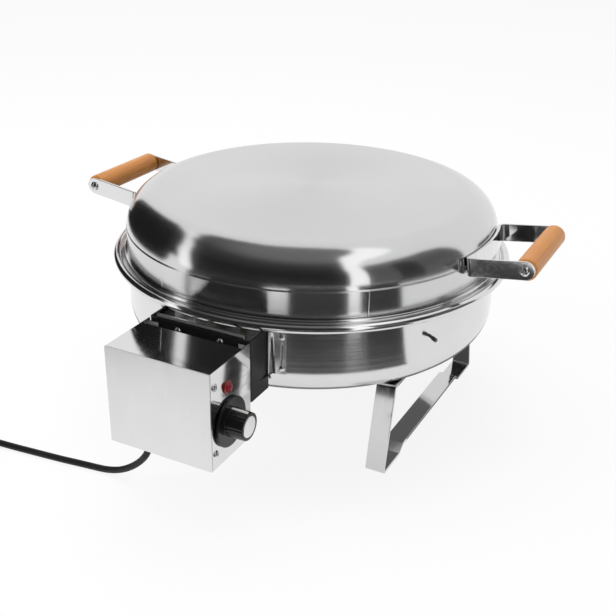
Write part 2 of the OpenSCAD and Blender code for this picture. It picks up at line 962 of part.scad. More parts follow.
module terminal_block() {
    pole = block_size[0] / block_poles;
    color("white")
        translate([block_x - block_size[0] / 2, -box_back - block_in - block_size[1], box_z + box_t])
            difference() {
                cube(block_size);
                for (i = [0 : block_poles - 1])
                    translate([pole * (i + 0.5), 0, block_size[2] * 0.4]) {
                        translate([0, -1, 0])
                            rotate([-90, 0, 0]) cylinder(r = 1.8, h = block_size[1] + 2);
                        translate([0, block_size[1] / 2, 0])
                            cylinder(r = 2.4, h = block_size[2]);
                    }
            }
}

module lamp_axis() {
    translate([box_x, lamp_y, lamp_z])
        rotate([0, 90, 0])
            children();
}

module lamp_body() {
    color("white")
        lamp_axis()
            translate([0, 0, -lamp_neck - lamp_body_len])
                cylinder(d = lamp_body_d, h = lamp_body_len);
}

module lamp_lens() {
    dome = lamp_d / 2;
    color("red")
        lamp_axis() {
            translate([0, 0, -lamp_neck]) cylinder(r = lamp_neck_r, h = lamp_neck + 1);
            cylinder(d = lamp_d + 2.8, h = lamp_flange);
            intersection() {
                translate([0, 0, lamp_flange - 1]) sphere(dome);
                cylinder(r = dome, h = lamp_flange + dome);
            }
        }
}

// Gland with a tapered, ribbed tail
module cord_gland() {
    ribs = 4;
    color([0.08, 0.08, 0.08])
        translate([gland_x, gland_y, 0])
            rotate_extrude()
                difference() {
                    polygon([
                        [0, gland_end],
                        [gland_end_r, gland_end],
                        [gland_neck_r + 0.8, box_z - gland_flange_h],
                        [gland_flange_r, box_z - gland_flange_h],
                        [gland_flange_r, box_z],
                        [gland_neck_r, box_z],
                        [gland_neck_r, box_z + box_t],
                        [gland_flange_r, box_z + box_t],
                        [gland_flange_r, box_z + box_t + gland_flange_h],
                        [0, box_z + box_t + gland_flange_h]
                    ]);
                    for (i = [1 : ribs])
                        translate([gland_end_r, gland_end + i * gland_tail / (ribs + 1) - 0.8])
                            square([gland_flange_r, 1.6]);
                }
}

// Peg on the pan wall with a thicker head
module side_peg() {
    color([0.2, 0.2, 0.2])
        peg_place() {
            translate([0, 0, -sheet_t - peg_nut_h - 2])
                cylinder(r = peg_r, h = sheet_t + peg_nut_h + 2.5 + peg_shank);
            translate([0, 0, peg_shank])
                rotate_extrude()
                    polygon([
                        [0, 0],
                        [peg_head_d / 2 - 0.8, 0],
                        [peg_head_d / 2, 0.8],
                        [peg_head_d / 2, peg_head - 0.8],
                        [peg_head_d / 2 - 0.8, peg_head],
                        [0, peg_head]
                    ]);
        }
}

module peg_nut() {
    tilt_gap = peg_nut_w * tan(peg_droop) / 2 + fit_gap;
    color("lightgray")
        peg_place()
            translate([0, 0, -sheet_t - tilt_gap - peg_nut_h])
                hex_nut(peg_nut_w, peg_nut_h, peg_r + fit_gap / 2);
}

// Spindle with a flat for the knob
module thermostat_spindle() {
    color("lightgray")
        knob_axis()
            difference() {
                translate([0, 0, -box_t - spindle_in + knob_spare])
                    cylinder(d = spindle_d, h = spindle_in + box_t - knob_spare + spindle_out);
                translate([spindle_d / 2 - spindle_flat, -spindle_d, collar_h])
                    cube([spindle_d, 2 * spindle_d, spindle_out]);
            }
}

module knob() {
    grip_r = knob_d / 2;
    bore = spindle_d / 2 + spindle_gap;
    color([0.05, 0.05, 0.05])
        knob_axis()
            translate([0, 0, knob_gap])
                difference() {
                    union() {
                        rotate_extrude()
                            polygon([
                                [0, 0],
                                [skirt_d / 2, 0],
                                [skirt_d / 2, skirt_h - 1],
                                [skirt_d / 2 - 1, skirt_h],
                                [grip_r, skirt_h],
                                [grip_r - knob_taper, knob_len - 1],
                                [grip_r - knob_taper - 1, knob_len],
                                [0, knob_len]
                            ]);
                        translate([-grip_r - 0.6, -pointer_w / 2, skirt_h - 1])
                            cube([grip_r / 2, pointer_w, knob_len - skirt_h]);
                    }
                    difference() {
                        translate([0, 0, -1]) cylinder(r = bore, h = spindle_out + knob_spare + 1);
                        translate([bore - spindle_flat, -spindle_d, collar_h])
                            cube([spindle_d, 2 * spindle_d, spindle_out]);
                    }
                    translate([0, 0, -1]) cylinder(r = collar_r + 1, h = collar_h + 1);
                    translate([0, 0, knob_len - cap_sink])
                        cylinder(d = cap_d + 2 * fit_gap, h = cap_sink + 1);
                }
}

module knob_cap() {
    color("whitesmoke")
        knob_axis()
            translate([0, 0, knob_gap + knob_len - cap_sink])
                rotate_extrude()
                    polygon([
                        [0, 0],
                        [cap_d / 2, 0],
                        [cap_d / 2, cap_t - 0.4],
                        [cap_d / 2 - 0.4, cap_t],
                        [0, cap_t]
                    ]);
}

// Drip tray: a shallow dish with a flared wall and a flat rim
module drip_tray() {
    foot_r = tray_wall_r - tray_flare;
    path = [
        [0, tray_z + tray_t / 2],
        [foot_r, tray_z + tray_t / 2],
        [tray_wall_r, tray_top - tray_t / 2],
        [tray_r, tray_top - tray_t / 2]
    ];
    color("silver")
        rotate_extrude($fn = round_fn)
            strip(rounded(path, 2), tray_t);
}

// Grate: parallel bars on a ring, with two bars across them underneath
module grate() {
    color("darkgray")
        translate([0, 0, ring_z]) {
            rotate_extrude($fn = round_fn)
                translate([ring_r, 0]) circle(d = ring_wire, $fn = 24);
            for (i = [-bar_count : bar_count]) {
                half = sqrt(pow(ring_r, 2) - pow(i * bar_pitch, 2));
                translate([i * bar_pitch, half, bar_z - ring_z])
                    rotate([90, 0, 0]) cylinder(d = bar_wire, h = 2 * half, $fn = 24);
            }
            for (y = [-tie_bar_at, tie_bar_at]) {
                half = sqrt(pow(ring_r, 2) - pow(y, 2));
                translate([-half, y, 0])
                    rotate([0, 90, 0]) cylinder(d = ring_wire, h = 2 * half, $fn = 24);
            }
        }
}

// Half outline of a filled dome: band, shoulder and crowned top, set in by the sheet's thickness
module lid_fill(inset, low) {
    top_z = shoulder_z + lid_shoulder - inset;
    crown = [
        for (i = [0 : crown_steps])
            [shoulder_at * i / crown_steps, top_z + lid_crown * (1 - pow(i / crown_steps, 2))]
    ];
    translate([0, low]) square([lid_r - inset, shoulder_z - low + (inset > 0 ? 0 : band_lap)]);
    translate([shoulder_at, shoulder_z])
        intersection() {
            circle(lid_shoulder - inset, $fn = round_fn);
            translate([-lid_shoulder, -1]) square([2 * lid_shoulder, lid_shoulder + 1]);
        }
    polygon(concat([[0, low], [shoulder_at, low]], reversed(crown)));
}

// Lid: the dome less its hollow, as one revolved sheet
module lid_profile() {
    difference() {
        lid_fill(0, lid_z);
        lid_fill(sheet_t, lid_z - 1);
    }
}

module stud_places() {
    for (y = [-stud_gap / 2, stud_gap / 2])
        translate([-arm_len, y, 0])
            rotate([0, -90, 0])
                children();
}

// Frame of a handle: its origin is the middle of the grip, with the arms along -X
module at_handle(side) {
    mirror([side < 0 ? 1 : 0, 0, 0])
        translate([grip_reach, 0, grip_z])
            rotate([0, -arm_slope, 0])
                children();
}

module lid() {
    color("gainsboro")
        difference() {
            rotate_extrude($fn = round_fn) lid_profile();
            for (side = [-1, 1])
                at_handle(side)
                    stud_places()
                        cylinder(r = stud_r + hole_gap, h = stud_len);
        }
}

// Handle: a strip bent into a base that follows the lid and two arms with round ends,
// and two studs into the lid
module handle(side) {
    arm_y = (grip_span - arm_t) / 2;
    hug_turn = asin(arm_y / hug_r);
    base = [
        for (i = [-hug_steps : hug_steps])
            let (a = hug_turn * i / hug_steps)
            [hug_r - lid_r - arm_len - hug_r * (1 - cos(a)) * slope_x, hug_r * sin(a)]
    ];
    path = concat([[0, -arm_y]], base, [[0, arm_y]]);
    color("silver")
        at_handle(side) {
            difference() {
                union() {
                    linear_extrude(height = arm_w, center = true)
                        strip(rounded(path, arm_bend), arm_t);
                    for (y = [-arm_y, arm_y])
                        translate([0, y, 0])
                            rotate([90, 0, 0]) cylinder(d = arm_w, h = arm_t, center = true);
                }
                rotate([90, 0, 0])
                    cylinder(r = screw_r + hole_gap, h = grip_span + 2, center = true);
            }
            stud_places()
                translate([0, 0, -1]) cylinder(r = stud_r, h = stud_len + 1);
        }
}

module left_handle() {
    handle(-1);
}

module right_handle() {
    handle(1);
}

// Grip: a turned dowel between the arms, with a pilot hole in each end
module grip(side) {
    half = grip_span / 2 - arm_t - fit_gap;
    r = grip_d / 2;
    color("peru")
        at_handle(side)
            rotate([90, 0, 0])
                difference() {
                    rotate_extrude()
                        polygon([
                            [0, -half],
                            [r - grip_chamfer, -half],
                            [r, grip_chamfer - half],
                            [r, half - grip_chamfer],
                            [r - grip_chamfer, half],
                            [0, half]
                        ]);
                    for (end = [0, 1])
                        mirror([0, 0, end])
                            translate([0, 0, half - screw_len])
                                cylinder(r = screw_r + fit_gap / 2, h = screw_len + 1);
                }
}

module left_grip() {
    grip(-1);
}

module right_grip() {
    grip(1);
}

module grip_screws() {
    color("white")
        for (side = [-1, 1], end = [0, 1])
            at_handle(side)
                mirror([0, end, 0])
                    translate([0, -grip_span / 2, 0])
                        rotate([90, 0, 0])
                            screw(screw_r, screw_len, screw_head_d, screw_head_h);
}

module handle_nuts() {
    color("lightgray")
        for (side = [-1, 1])
            at_handle(side)
                stud_places()
                    translate([0, 0, sheet_t + nut_seat])
                        hex_nut(nut_w, nut_h, stud_r + fit_gap / 2);
}

module mains_cord() {
    color([0.05, 0.05, 0.05])
        cord_stretch(cord_route, 2, [0, 0, -1], [-1, 0, 0]);
}

// The coil's ends run straight for one diameter, in line with what they meet
module cord_coil() {
    lead_in = cord_d / coil_out / 6.2832;
    spots = [for (i = [0 : coil_n]) coil_turns * i / coil_n];
    rings = [
        for (t = spots)
            let (first = t <= lead_in, last = t >= coil_turns - lead_in)
            let (dir = first ? [-1, 0, 0] : last ? [0, -1, 0] : coil_dir(t))
            ring_at(coil_point(t), dir, cord_r, coil_sides)
    ];
    color([0.05, 0.05, 0.05]) tube(rings, coil_sides);
}

// Flat tie around all turns of the coil at one place
module cord_tie() {
    low = 0.05;
    inside = coil_in - cord_r - 2 * tie_gap;
    outside = coil_out + cord_r + tie_gap;
    high = coil_top + cord_r + tie_gap;
    color([0.1, 0.1, 0.1])
        translate([coil_x, coil_y, 0])
            rotate(tie_turn)
                rotate([90, 0, 0])
                    linear_extrude(height = tie_w, center = true)
                        difference() {
                            translate([inside - tie_t, low])
                                square([outside - inside + 2 * tie_t, high - low + tie_t]);
                            translate([inside, low + tie_t])
                                square([outside - inside, high - low - tie_t]);
                        }
}

module cord_tail() {
    color([0.05, 0.05, 0.05])
        cord_stretch(tail_route, 2, [0, -1, 0], [0, -1, 0]);
}

// Along the plug's axis, with +Z towards its pins
module plug_axis() {
    translate([plug_x, plug_y, plug_z])
        rotate([90, 0, 0])
            children();
}

// Plug: a round moulded body with finger grooves and two pins
module plug() {
    color([0.06, 0.06, 0.06])
        plug_axis()
            difference() {
                rotate_extrude()
                    polygon([
                        [0, 0],
                        [plug_tail_r, 0],
                        [plug_tail_r + 2, plug_tail],
                        [plug_r - plug_step - 1, plug_grip],
                        [plug_r - plug_step, plug_len - plug_lip - plug_step],
                        [plug_r, plug_len - plug_lip],
                        [plug_r, plug_len],
                        [0, plug_len]
                    ]);
                for (x = [-1, 1])
                    translate([x * pin_gap / 2, 0, plug_len - pin_in])
                        cylinder(r = pin_r + fit_gap / 2, h = pin_in + 1);
                for (y = [-1, 1])
                    translate([0, y * plug_r, plug_len])
                        cube([plug_slot, plug_slot * 0.6, 2 * plug_lip], center = true);
            }
}

module plug_pins() {
    color("silver")
        plug_axis()
            for (x = [-1, 1])
                translate([x * pin_gap / 2, 0, plug_len - pin_in + fit_gap]) {
                    cylinder(r = pin_r, h = pin_len + pin_in - 1);
                    translate([0, 0, pin_len + pin_in - 1])
                        cylinder(r1 = pin_r, r2 = pin_r - 1, h = 1);
                }
}

// Sets a piece from the pan's axis into the object's own frame
module placed() {
    translate([0, axis_y, 0]) children();
}

placed() pan();
placed() pan_rim();
placed() left_leg();
placed() right_leg();
placed() leg_bolts();
placed() leg_nuts();
placed() heating_element();
placed() element_clips();
placed() element_bushings();
placed() bushing_nuts();
placed() wall_frame();
placed() frame_rivets();
placed() mounting_bracket();
placed() bracket_screws();
placed() bracket_nuts();
placed() control_housing();
placed() housing_screws();
placed() front_panel();
placed() panel_screws();
placed() thermostat();
placed() terminal_block();
placed() lamp_body();
placed() lamp_lens();
placed() cord_gland();
placed() side_peg();
placed() peg_nut();
placed() thermostat_spindle();
placed() knob();
placed() knob_cap();
placed() drip_tray();
placed() grate();
placed() lid();
placed() left_handle();
placed() right_handle();
placed() left_grip();
placed() right_grip();
placed() grip_screws();
placed() handle_nuts();
placed() mains_cord();
placed() cord_coil();
placed() cord_tie();
placed() cord_tail();
placed() plug();
placed() plug_pins();
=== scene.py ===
import bpy
import bmesh
from math import acos, asin, atan2, ceil, cos, pi, radians, sin, sqrt, tan
from mathutils import Matrix, Vector


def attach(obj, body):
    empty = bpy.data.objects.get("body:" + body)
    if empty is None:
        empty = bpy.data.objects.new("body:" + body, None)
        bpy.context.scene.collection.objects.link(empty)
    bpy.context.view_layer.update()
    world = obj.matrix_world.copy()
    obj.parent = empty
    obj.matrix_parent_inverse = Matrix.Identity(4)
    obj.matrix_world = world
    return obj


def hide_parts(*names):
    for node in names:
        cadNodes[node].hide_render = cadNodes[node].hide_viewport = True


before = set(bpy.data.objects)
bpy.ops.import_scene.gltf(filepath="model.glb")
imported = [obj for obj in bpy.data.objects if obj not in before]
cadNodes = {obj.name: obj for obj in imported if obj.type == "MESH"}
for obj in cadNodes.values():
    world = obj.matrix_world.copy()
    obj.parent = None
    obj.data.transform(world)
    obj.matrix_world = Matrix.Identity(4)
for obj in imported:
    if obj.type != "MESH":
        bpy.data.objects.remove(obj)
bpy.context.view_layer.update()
scene = bpy.context.scene
scene.view_settings.view_transform = "Standard"
mm = 0.001
axisY = 0.0395  # the pan's axis, seen from the object's own origin
print("stage: frame loaded")


def placed(name, data):
    piece = bpy.data.objects.new(name, data)
    scene.collection.objects.link(piece)
    return piece


# camera, fitted to the photograph
cameraSet = {
    "place": (0.44381, -0.83821, 0.56082), "turn": (64.6323, -0.9162, 27.4289), "lens": 57.184, "sensor": 36,
}
cameraData = bpy.data.cameras.new("camera")
cameraData.lens = cameraSet["lens"]
cameraData.sensor_width = cameraSet["sensor"]
camera = placed("camera", cameraData)
camera.location = cameraSet["place"]
camera.rotation_euler = [radians(a) for a in cameraSet["turn"]]
scene.camera = camera


# small geometry tools
meshSet = {
    "merge": 1e-7, "axis": 1e-9, "heldFrom": 5, "cadMerge": 2e-6, "cadFlat": 0.6,
    "bevelSteps": 3, "bevelFrom": 32,
}
stripSet = {"cornerSteps": 3, "tipSteps": 10, "tipTurn": 88, "tipEnd": 0.04}


def rounded(points, steps=6):
    # points are (u, v, radius); a corner with a radius becomes an arc
    line = []
    for i, (u, v, radius) in enumerate(points):
        if radius <= 0 or i in (0, len(points) - 1):
            line.append(Vector((u, v)))
            continue
        here = Vector((u, v))
        before = (here - Vector(points[i - 1][:2])).normalized()
        after = (Vector(points[i + 1][:2]) - here).normalized()
        bend = acos(max(-1, min(1, before.dot(after))))
        side = 1 if before.x * after.y - before.y * after.x > 0 else -1
        start = here - before * radius * tan(bend / 2)
        middle = start + Vector((-before.y, before.x)) * side * radius
        for k in range(steps + 1):
            turn = Matrix.Rotation(side * bend * k / steps, 2)
            line.append(middle + turn @ (start - middle))
    return line


def held(line, gap):
    # extra points close to the ends of long stretches keep flat faces flat in the shading
    out = [line[0]]
    for a, b in zip(line, line[1:]):
        length = (b - a).length
        if length > meshSet["heldFrom"] * gap:
            out.append(a.lerp(b, gap / length))
            out.append(a.lerp(b, 1 - gap / length))
        out.append(b)
    return out


def arc(middle, radius, fromDeg, toDeg, steps):
    spread = [radians(fromDeg + (toDeg - fromDeg) * i / steps) for i in range(steps + 1)]
    return [Vector((middle[0] + radius * cos(a), middle[1] + radius * sin(a))) for a in spread]


def meshPiece(name, bm, smooth=True):
    mesh = bpy.data.meshes.new(name)
    bm.to_mesh(mesh)
    bm.free()
    for face in mesh.polygons:
        face.use_smooth = smooth
    return placed(name, mesh)


def finishMesh(name, bm, place=None, smooth=True):
    if place is not None:
        bmesh.ops.transform(bm, matrix=place, verts=bm.verts)
    bmesh.ops.remove_doubles(bm, verts=bm.verts, dist=meshSet["merge"])
    bmesh.ops.recalc_face_normals(bm, faces=bm.faces)
    return meshPiece(name, bm, smooth)


def evenAngles(count):
    return [2 * pi * i / count for i in range(count)]


def lathe(bm, line, angles, inset=None):
    # turns a chain of (radius, height) about Z; a point on the axis becomes a pole
    columns = []
    for a in angles:
        push = inset(a) if inset else None
        column = []
        for p in line:
            r = p.x - (push(p) if push else 0)
            column.append(bm.verts.new((r * cos(a), r * sin(a), p.y)))
        columns.append(column)
    for i, column in enumerate(columns):
        other = columns[(i + 1) % len(columns)]
        for k in range(len(line) - 1):
            n = k + 1
            corners = [column[k], other[k], other[n], column[n]]
            if line[k].x < meshSet["axis"]:
                corners = [column[k], other[n], column[n]]
            elif line[n].x < meshSet["axis"]:
                corners = [column[k], other[k], column[n]]
            bm.faces.new(corners)


def turnedPiece(name, line, angles, place=None, inset=None):
    bm = bmesh.new()
    lathe(bm, line, angles, inset)
    return finishMesh(name, bm, place)


def bentStrip(bm, line, width, thick, edge, tip=0):
    # rectangular strip with rounded edges along a line in the XY plane, width along Z; tip rounds its ends
    s = stripSet
    half = Vector((thick / 2 - edge, width / 2 - edge))
    section = []
    for k, (sx, sy) in enumerate(((1, 1), (-1, 1), (-1, -1), (1, -1))):
        for j in range(s["cornerSteps"] + 1):
            a = pi / 2 * (k + j / s["cornerSteps"])
            section.append((sx * half.x + edge * cos(a), sy * half.y + edge * sin(a)))
    stations = []
    for i, p in enumerate(line):
        before = (line[max(i, 1)] - line[max(i, 1) - 1]).normalized()
        last = min(i, len(line) - 2)
        after = (line[last + 1] - line[last]).normalized()
        side = (Vector((-before.y, before.x)) + Vector((-after.y, after.x))).normalized()
        side /= side.dot(Vector((-before.y, before.x)))
        stations.append((p, side, 1.0))
    if tip:
        ends = []
        turns = [radians(s["tipTurn"]) * k / s["tipSteps"] for k in range(1, s["tipSteps"] + 1)]
        for end, nearby in ((0, 1), (-1, -2)):
            place, side = line[end], stations[end][1]
            way = (place - line[nearby]).normalized()
            ends.append([(place + way * tip * sin(a), side, max(cos(a), s["tipEnd"])) for a in turns])
        stations = ends[0][::-1] + stations + ends[1]
    rings = []
    for place, side, scale in stations:
        rings.append([
            bm.verts.new((place.x + side.x * a, place.y + side.y * a, b * scale))
            for a, b in section
        ])
    for one, two in zip(rings, rings[1:]):
        for k in range(len(section)):
            n = (k + 1) % len(section)
            bm.faces.new((one[k], one[n], two[n], two[k]))
    bm.faces.new(rings[0][::-1])
    bm.faces.new(rings[-1])


def plainMesh(piece):
    # what the modifiers give becomes the piece's own mesh
    graph = bpy.context.evaluated_depsgraph_get()
    mesh = bpy.data.meshes.new_from_object(piece.evaluated_get(graph))
    piece.modifiers.clear()
    piece.data = mesh
    return piece


def evenShading(piece):
    weights = piece.modifiers.new("weights", "WEIGHTED_NORMAL")
    weights.mode = "FACE_AREA"
    weights.weight = 100
    return plainMesh(piece)


def softened(name, node, width):
    # a CAD solid with its sharp edges broken
    s = meshSet
    bm = bmesh.new()
    bm.from_mesh(cadNodes[node].data)
    bmesh.ops.remove_doubles(bm, verts=bm.verts, dist=s["cadMerge"])
    bmesh.ops.dissolve_limit(bm, angle_limit=radians(s["cadFlat"]), verts=bm.verts, edges=bm.edges)
    piece = meshPiece(name, bm)
    bevel = piece.modifiers.new("edges", "BEVEL")
    bevel.width = width
    bevel.segments = s["bevelSteps"]
    bevel.limit_method = "ANGLE"
    bevel.angle_limit = radians(s["bevelFrom"])
    return evenShading(piece)


def settle(piece, body, slot, material, *nodes):
    piece.data.materials.clear()
    piece.data.materials.append(material)
    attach(piece, body)
    if nodes:
        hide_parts(*nodes)
    return piece


def solidPiece(name, node, width, body, slot, material):
    return settle(softened(name, node, width), body, slot, material, node)


# node tools
def setInput(tree, socket, value):
    # links a node's first output or the output given, and writes any other value
    if isinstance(value, bpy.types.Node):
        value = value.outputs[0]
    if isinstance(value, bpy.types.NodeSocket):
        tree.links.new(value, socket)
    else:
        socket.default_value = value


def addNode(tree, kind, inputs=(), **settings):
    node = tree.nodes.new(kind)
    for word, value in settings.items():
        setattr(node, word, value)
    for word, value in dict(inputs).items():
        setInput(tree, node.inputs[word], value)
    return node


def mathsNode(tree, operation, *values):
    return addNode(tree, "ShaderNodeMath", dict(enumerate(values)), operation=operation)


def colourRamp(tree, value, stops):
    node = addNode(tree, "ShaderNodeValToRGB", {"Fac": value})
    band = node.color_ramp.elements
    while len(band) < len(stops):
        band.new(0.5)
    for element, (place, colour) in zip(band, stops):
        element.position = place
        element.color = (*colour, 1)
    return node


# finishes
class Finish:
    # a principled material with short ways to add texture nodes

    def __init__(self, name, colour, roughness, metallic=0.0, **sockets):
        self.material = bpy.data.materials.new(name)
        self.material.use_nodes = True
        self.tree = self.material.node_tree
        self.shader = self.tree.nodes["Principled BSDF"].inputs
        self.feed("Base Color", (*colour, 1))
        self.feed("Roughness", roughness)
        self.feed("Metallic", metallic)
        for socket, value in sockets.items():
            self.feed(socket.replace("_", " "), value)
        self.coords = self.add("TexCoord").outputs["Object"]
        self.normal = None

    def feed(self, socket, value):
        setInput(self.tree, self.shader[socket], value)

    def add(self, kind, inputs=(), **settings):
        return addNode(self.tree, "ShaderNode" + kind, inputs, **settings)

    def mapped(self, scale, location=(0, 0, 0)):
        return self.add("Mapping", {"Vector": self.coords, "Location": location, "Scale": scale})

    def noise(self, vector, scale, detail, rough=0.5, distortion=0.0):
        inputs = {"Vector": vector, "Scale": scale, "Detail": detail, "Roughness": rough}
        return self.add("TexNoise", {**inputs, "Distortion": distortion})

    def length(self, vector):
        return self.add("VectorMath", {0: vector}, operation="LENGTH").outputs["Value"]

    def spun(self):
        # distance from the pan's axis and height, for patterns that run round it
        place = self.add("SeparateXYZ", {0: self.mapped((1, 1, 1), (0, -axisY, 0))}).outputs
        distance = self.length(self.add("CombineXYZ", {"X": place["X"], "Y": place["Y"]}))
        return self.add("CombineXYZ", {"X": distance, "Y": place["Z"]}), distance

    def spread(self, value, fromLow, fromHigh, toLow, toHigh):
        inputs = {"Value": value, "From Min": fromLow, "From Max": fromHigh}
        return self.add("MapRange", {**inputs, "To Min": toLow, "To Max": toHigh})

    def ramp(self, value, stops):
        return colourRamp(self.tree, value, stops)

    def maths(self, one, two, operation="ADD"):
        return mathsNode(self.tree, operation, one, two)

    def bump(self, height, strength, distance):
        inputs = {"Height": height, "Strength": strength, "Distance": distance}
        if self.normal:
            inputs["Normal"] = self.normal
        self.normal = self.add("Bump", inputs)
        self.feed("Normal", self.normal)

    def lean(self, amount):
        # shades level sheet as if it leant a little to the back
        normal = self.add("NewGeometry").outputs["Normal"]
        height = self.add("SeparateXYZ", {0: normal}).outputs["Z"]
        upward = self.maths(self.maths(height, 0.0, "MAXIMUM"), amount, "MULTIPLY")
        tilted = self.add("VectorMath", {0: normal, 1: self.add("CombineXYZ", {"Y": upward})})
        self.normal = self.add("VectorMath", {0: tilted}, operation="NORMALIZE")

    def brushed(self, amount):
        # fine lines round the upright axis draw every reflection out across them
        self.feed("Tangent", self.add("Tangent", direction_type="RADIAL", axis="Z"))
        self.feed("Anisotropic", amount)
        self.feed("Anisotropic Rotation", 0.25)  # a quarter turn


steelSet = {
    "clouds": 14, "cloudy": (0.3, 0.7), "dull": 0.93, "gloss": (0.12, 0.42), "waves": 9, "waveDeep": 0.01,
    "rings": 900, "lineDeep": 0.0004, "brushed": 0.7,
}
skinSet = {
    "dust": 40, "dusty": (0.35, 0.8), "pale": 1.25, "lift": 0.004, "skin": (0.3, 0.7), "gloss": (0.85, 1.15),
    "deep": 0.0003,
}


def sheetSteel(name, colour, smoothest, roughest, grain=None, wave=0.0, lineDepth=0.05, lean=0.0):
    # bright sheet: faint waves, clouded gloss and polishing lines, which run round the axis without a grain
    s = steelSet
    finish = Finish(name, colour, smoothest, 1.0)
    clouds = finish.noise(finish.coords, s["clouds"], detail=4)
    if grain:
        lines = finish.noise(finish.mapped(grain), 1, detail=2)
    else:
        lines = finish.noise(finish.spun()[0], s["rings"], detail=2)
    both = finish.maths(clouds, lines, "MULTIPLY")
    finish.feed("Roughness", finish.spread(both, *s["gloss"], smoothest, roughest))
    finish.feed("Base Color", finish.ramp(clouds, [
        (s["cloudy"][0], [c * s["dull"] for c in colour]), (s["cloudy"][1], colour),
    ]))
    if lean:
        finish.lean(lean)
    if wave:
        finish.bump(finish.noise(finish.coords, s["waves"], detail=1), wave, s["waveDeep"])
    finish.bump(lines, lineDepth, s["lineDeep"])
    if not grain:
        finish.brushed(s["brushed"])
    return finish.material


def moulded(name, colour, roughness, scale, strength, **sockets):
    # plastic, rubber or paint with a fine skin
    s = skinSet
    finish = Finish(name, colour, roughness, **sockets)
    skin = finish.noise(finish.coords, scale, detail=4, rough=0.6)
    dust = finish.noise(finish.coords, s["dust"], detail=3)
    pale = [min(1, c * s["pale"] + s["lift"]) for c in colour]
    finish.feed("Base Color", finish.ramp(dust, [(s["dusty"][0], colour), (s["dusty"][1], pale)]))
    low, high = s["gloss"]
    finish.feed("Roughness", finish.spread(skin, *s["skin"], roughness * low, min(1, roughness * high)))
    finish.bump(skin, strength, s["deep"])
    return finish.material


polish = {"wave": 0.003, "lineDepth": 0.002}
brightSheet = ((0.76, 0.76, 0.765), 0.05, 0.10, (300, 12, 300))
mirrorSteel = sheetSteel("mirrorSteel", *brightSheet, **polish)
housingSteel = sheetSteel("housingSteel", *brightSheet, lean=0.093, **polish)
panSteel = sheetSteel("panSteel", (0.74, 0.74, 0.745), 0.12, 0.20, wave=0.02, lineDepth=0.01)
stripSteel = sheetSteel("stripSteel", (0.64, 0.64, 0.645), 0.05, 0.10, (700, 25, 25))
frameSteel = sheetSteel("frameSteel", (0.74, 0.74, 0.745), 0.20, 0.28, (30, 30, 500), lineDepth=0.02)
panelSteel = sheetSteel("panelSteel", (0.79, 0.79, 0.795), 0.27, 0.32, (420, 420, 30), lineDepth=0.008)
traySteel = sheetSteel("traySteel", (0.70, 0.70, 0.705), 0.18, 0.32)
zincSteel = sheetSteel("zincSteel", (0.74, 0.74, 0.73), 0.14, 0.28, (400, 400, 400))
pinSteel = sheetSteel("pinSteel", (0.76, 0.75, 0.72), 0.12, 0.25, (300, 60, 300))
wireSteel = sheetSteel("wireSteel", (0.68, 0.68, 0.685), 0.10, 0.22, (300, 300, 300))
heaterSheath = sheetSteel("heaterSheath", (0.24, 0.235, 0.23), 0.32, 0.5, (90, 90, 90))
turnedBrass = sheetSteel("turnedBrass", (0.72, 0.55, 0.27), 0.16, 0.3, (400, 40, 400))
pegSteel = sheetSteel("pegSteel", (0.22, 0.22, 0.22), 0.12, 0.22, (400, 400, 400))
rivetMetal = sheetSteel("rivetMetal", (0.82, 0.82, 0.83), 0.2, 0.34, (400, 400, 400))
blackPaint = moulded("blackPaint", (0.006, 0.006, 0.006), 0.38, 900, 0.1, Specular_IOR_Level=0.3)
blackPlastic = moulded("blackPlastic", (0.005, 0.005, 0.005), 0.2, 1500, 0.05, Specular_IOR_Level=0.35)
blackRubber = moulded("blackRubber", (0.016, 0.016, 0.016), 0.55, 1100, 0.2)
ivoryPlastic = moulded("ivoryPlastic", (0.72, 0.66, 0.5), 0.45, 900, 0.1)
whitePlastic = moulded("whitePlastic", (0.75, 0.75, 0.72), 0.45, 900, 0.1)
cordSheath = moulded("cordSheath", (0.009, 0.009, 0.009), 0.5, 700, 0.15, Specular_IOR_Level=0.3)
redLens = moulded("redLens", (0.20, 0.008, 0.012), 0.12, 500, 0.03)
print("stage: finishes ready")


# mains cord: route from gland to coil, the coil itself and the tail to the plug
cordSet = {
    "diameter": 0.0066, "gland": (-38.0, -217.5), "glandEnd": 47.0, "low": 3.4,
    "turns": [
        (0.6, 0, 43), (4, 0, 36.5), (10.2, -0.4, 28.7), (18.2, -0.4, 21.2), (28.1, -0.5, 14.2),
        (38.9, -0.9, 8.6), (51.5, -1.2, 4.6), (62.8, -0.5, 0), (82.1, 2, 0), (104.5, 5.1, 0),
        (131.9, 8.1, 0), (159.4, 11.2, 3.6), (184.8, 13.6, 4),
    ],
    "coilSide": 220.0, "coilOff": 14.0, "lead": 14.0,
    "coilIn": 26.3, "pitch": 7.4, "coilTurns": 5.25, "coilZ": 4.45,
    "tail": [(0, 0), (0.16, 0), (0.34, 0.1), (0.5, 0.5), (0.66, 0.9), (0.84, 1), (1, 1)],
    "tailLen": 44.0, "plugZ": 18.6, "routeSteps": 8, "turnSteps": 60, "tailSteps": 6, "roundSteps": 5,
}


def smoothRoute(route, steps):
    out = []
    last = len(route) - 1
    for i in range(last):
        a, b = route[max(i - 1, 0)], route[i]
        c, d = route[i + 1], route[min(i + 2, last)]
        for k in range(steps):
            t = k / steps
            cubic = (3 * b - a - 3 * c + d) * t ** 3
            out.append((2 * b + (c - a) * t + (2 * a - 5 * b + 4 * c - d) * t ** 2 + cubic) * 0.5)
    return out + [route[-1]]


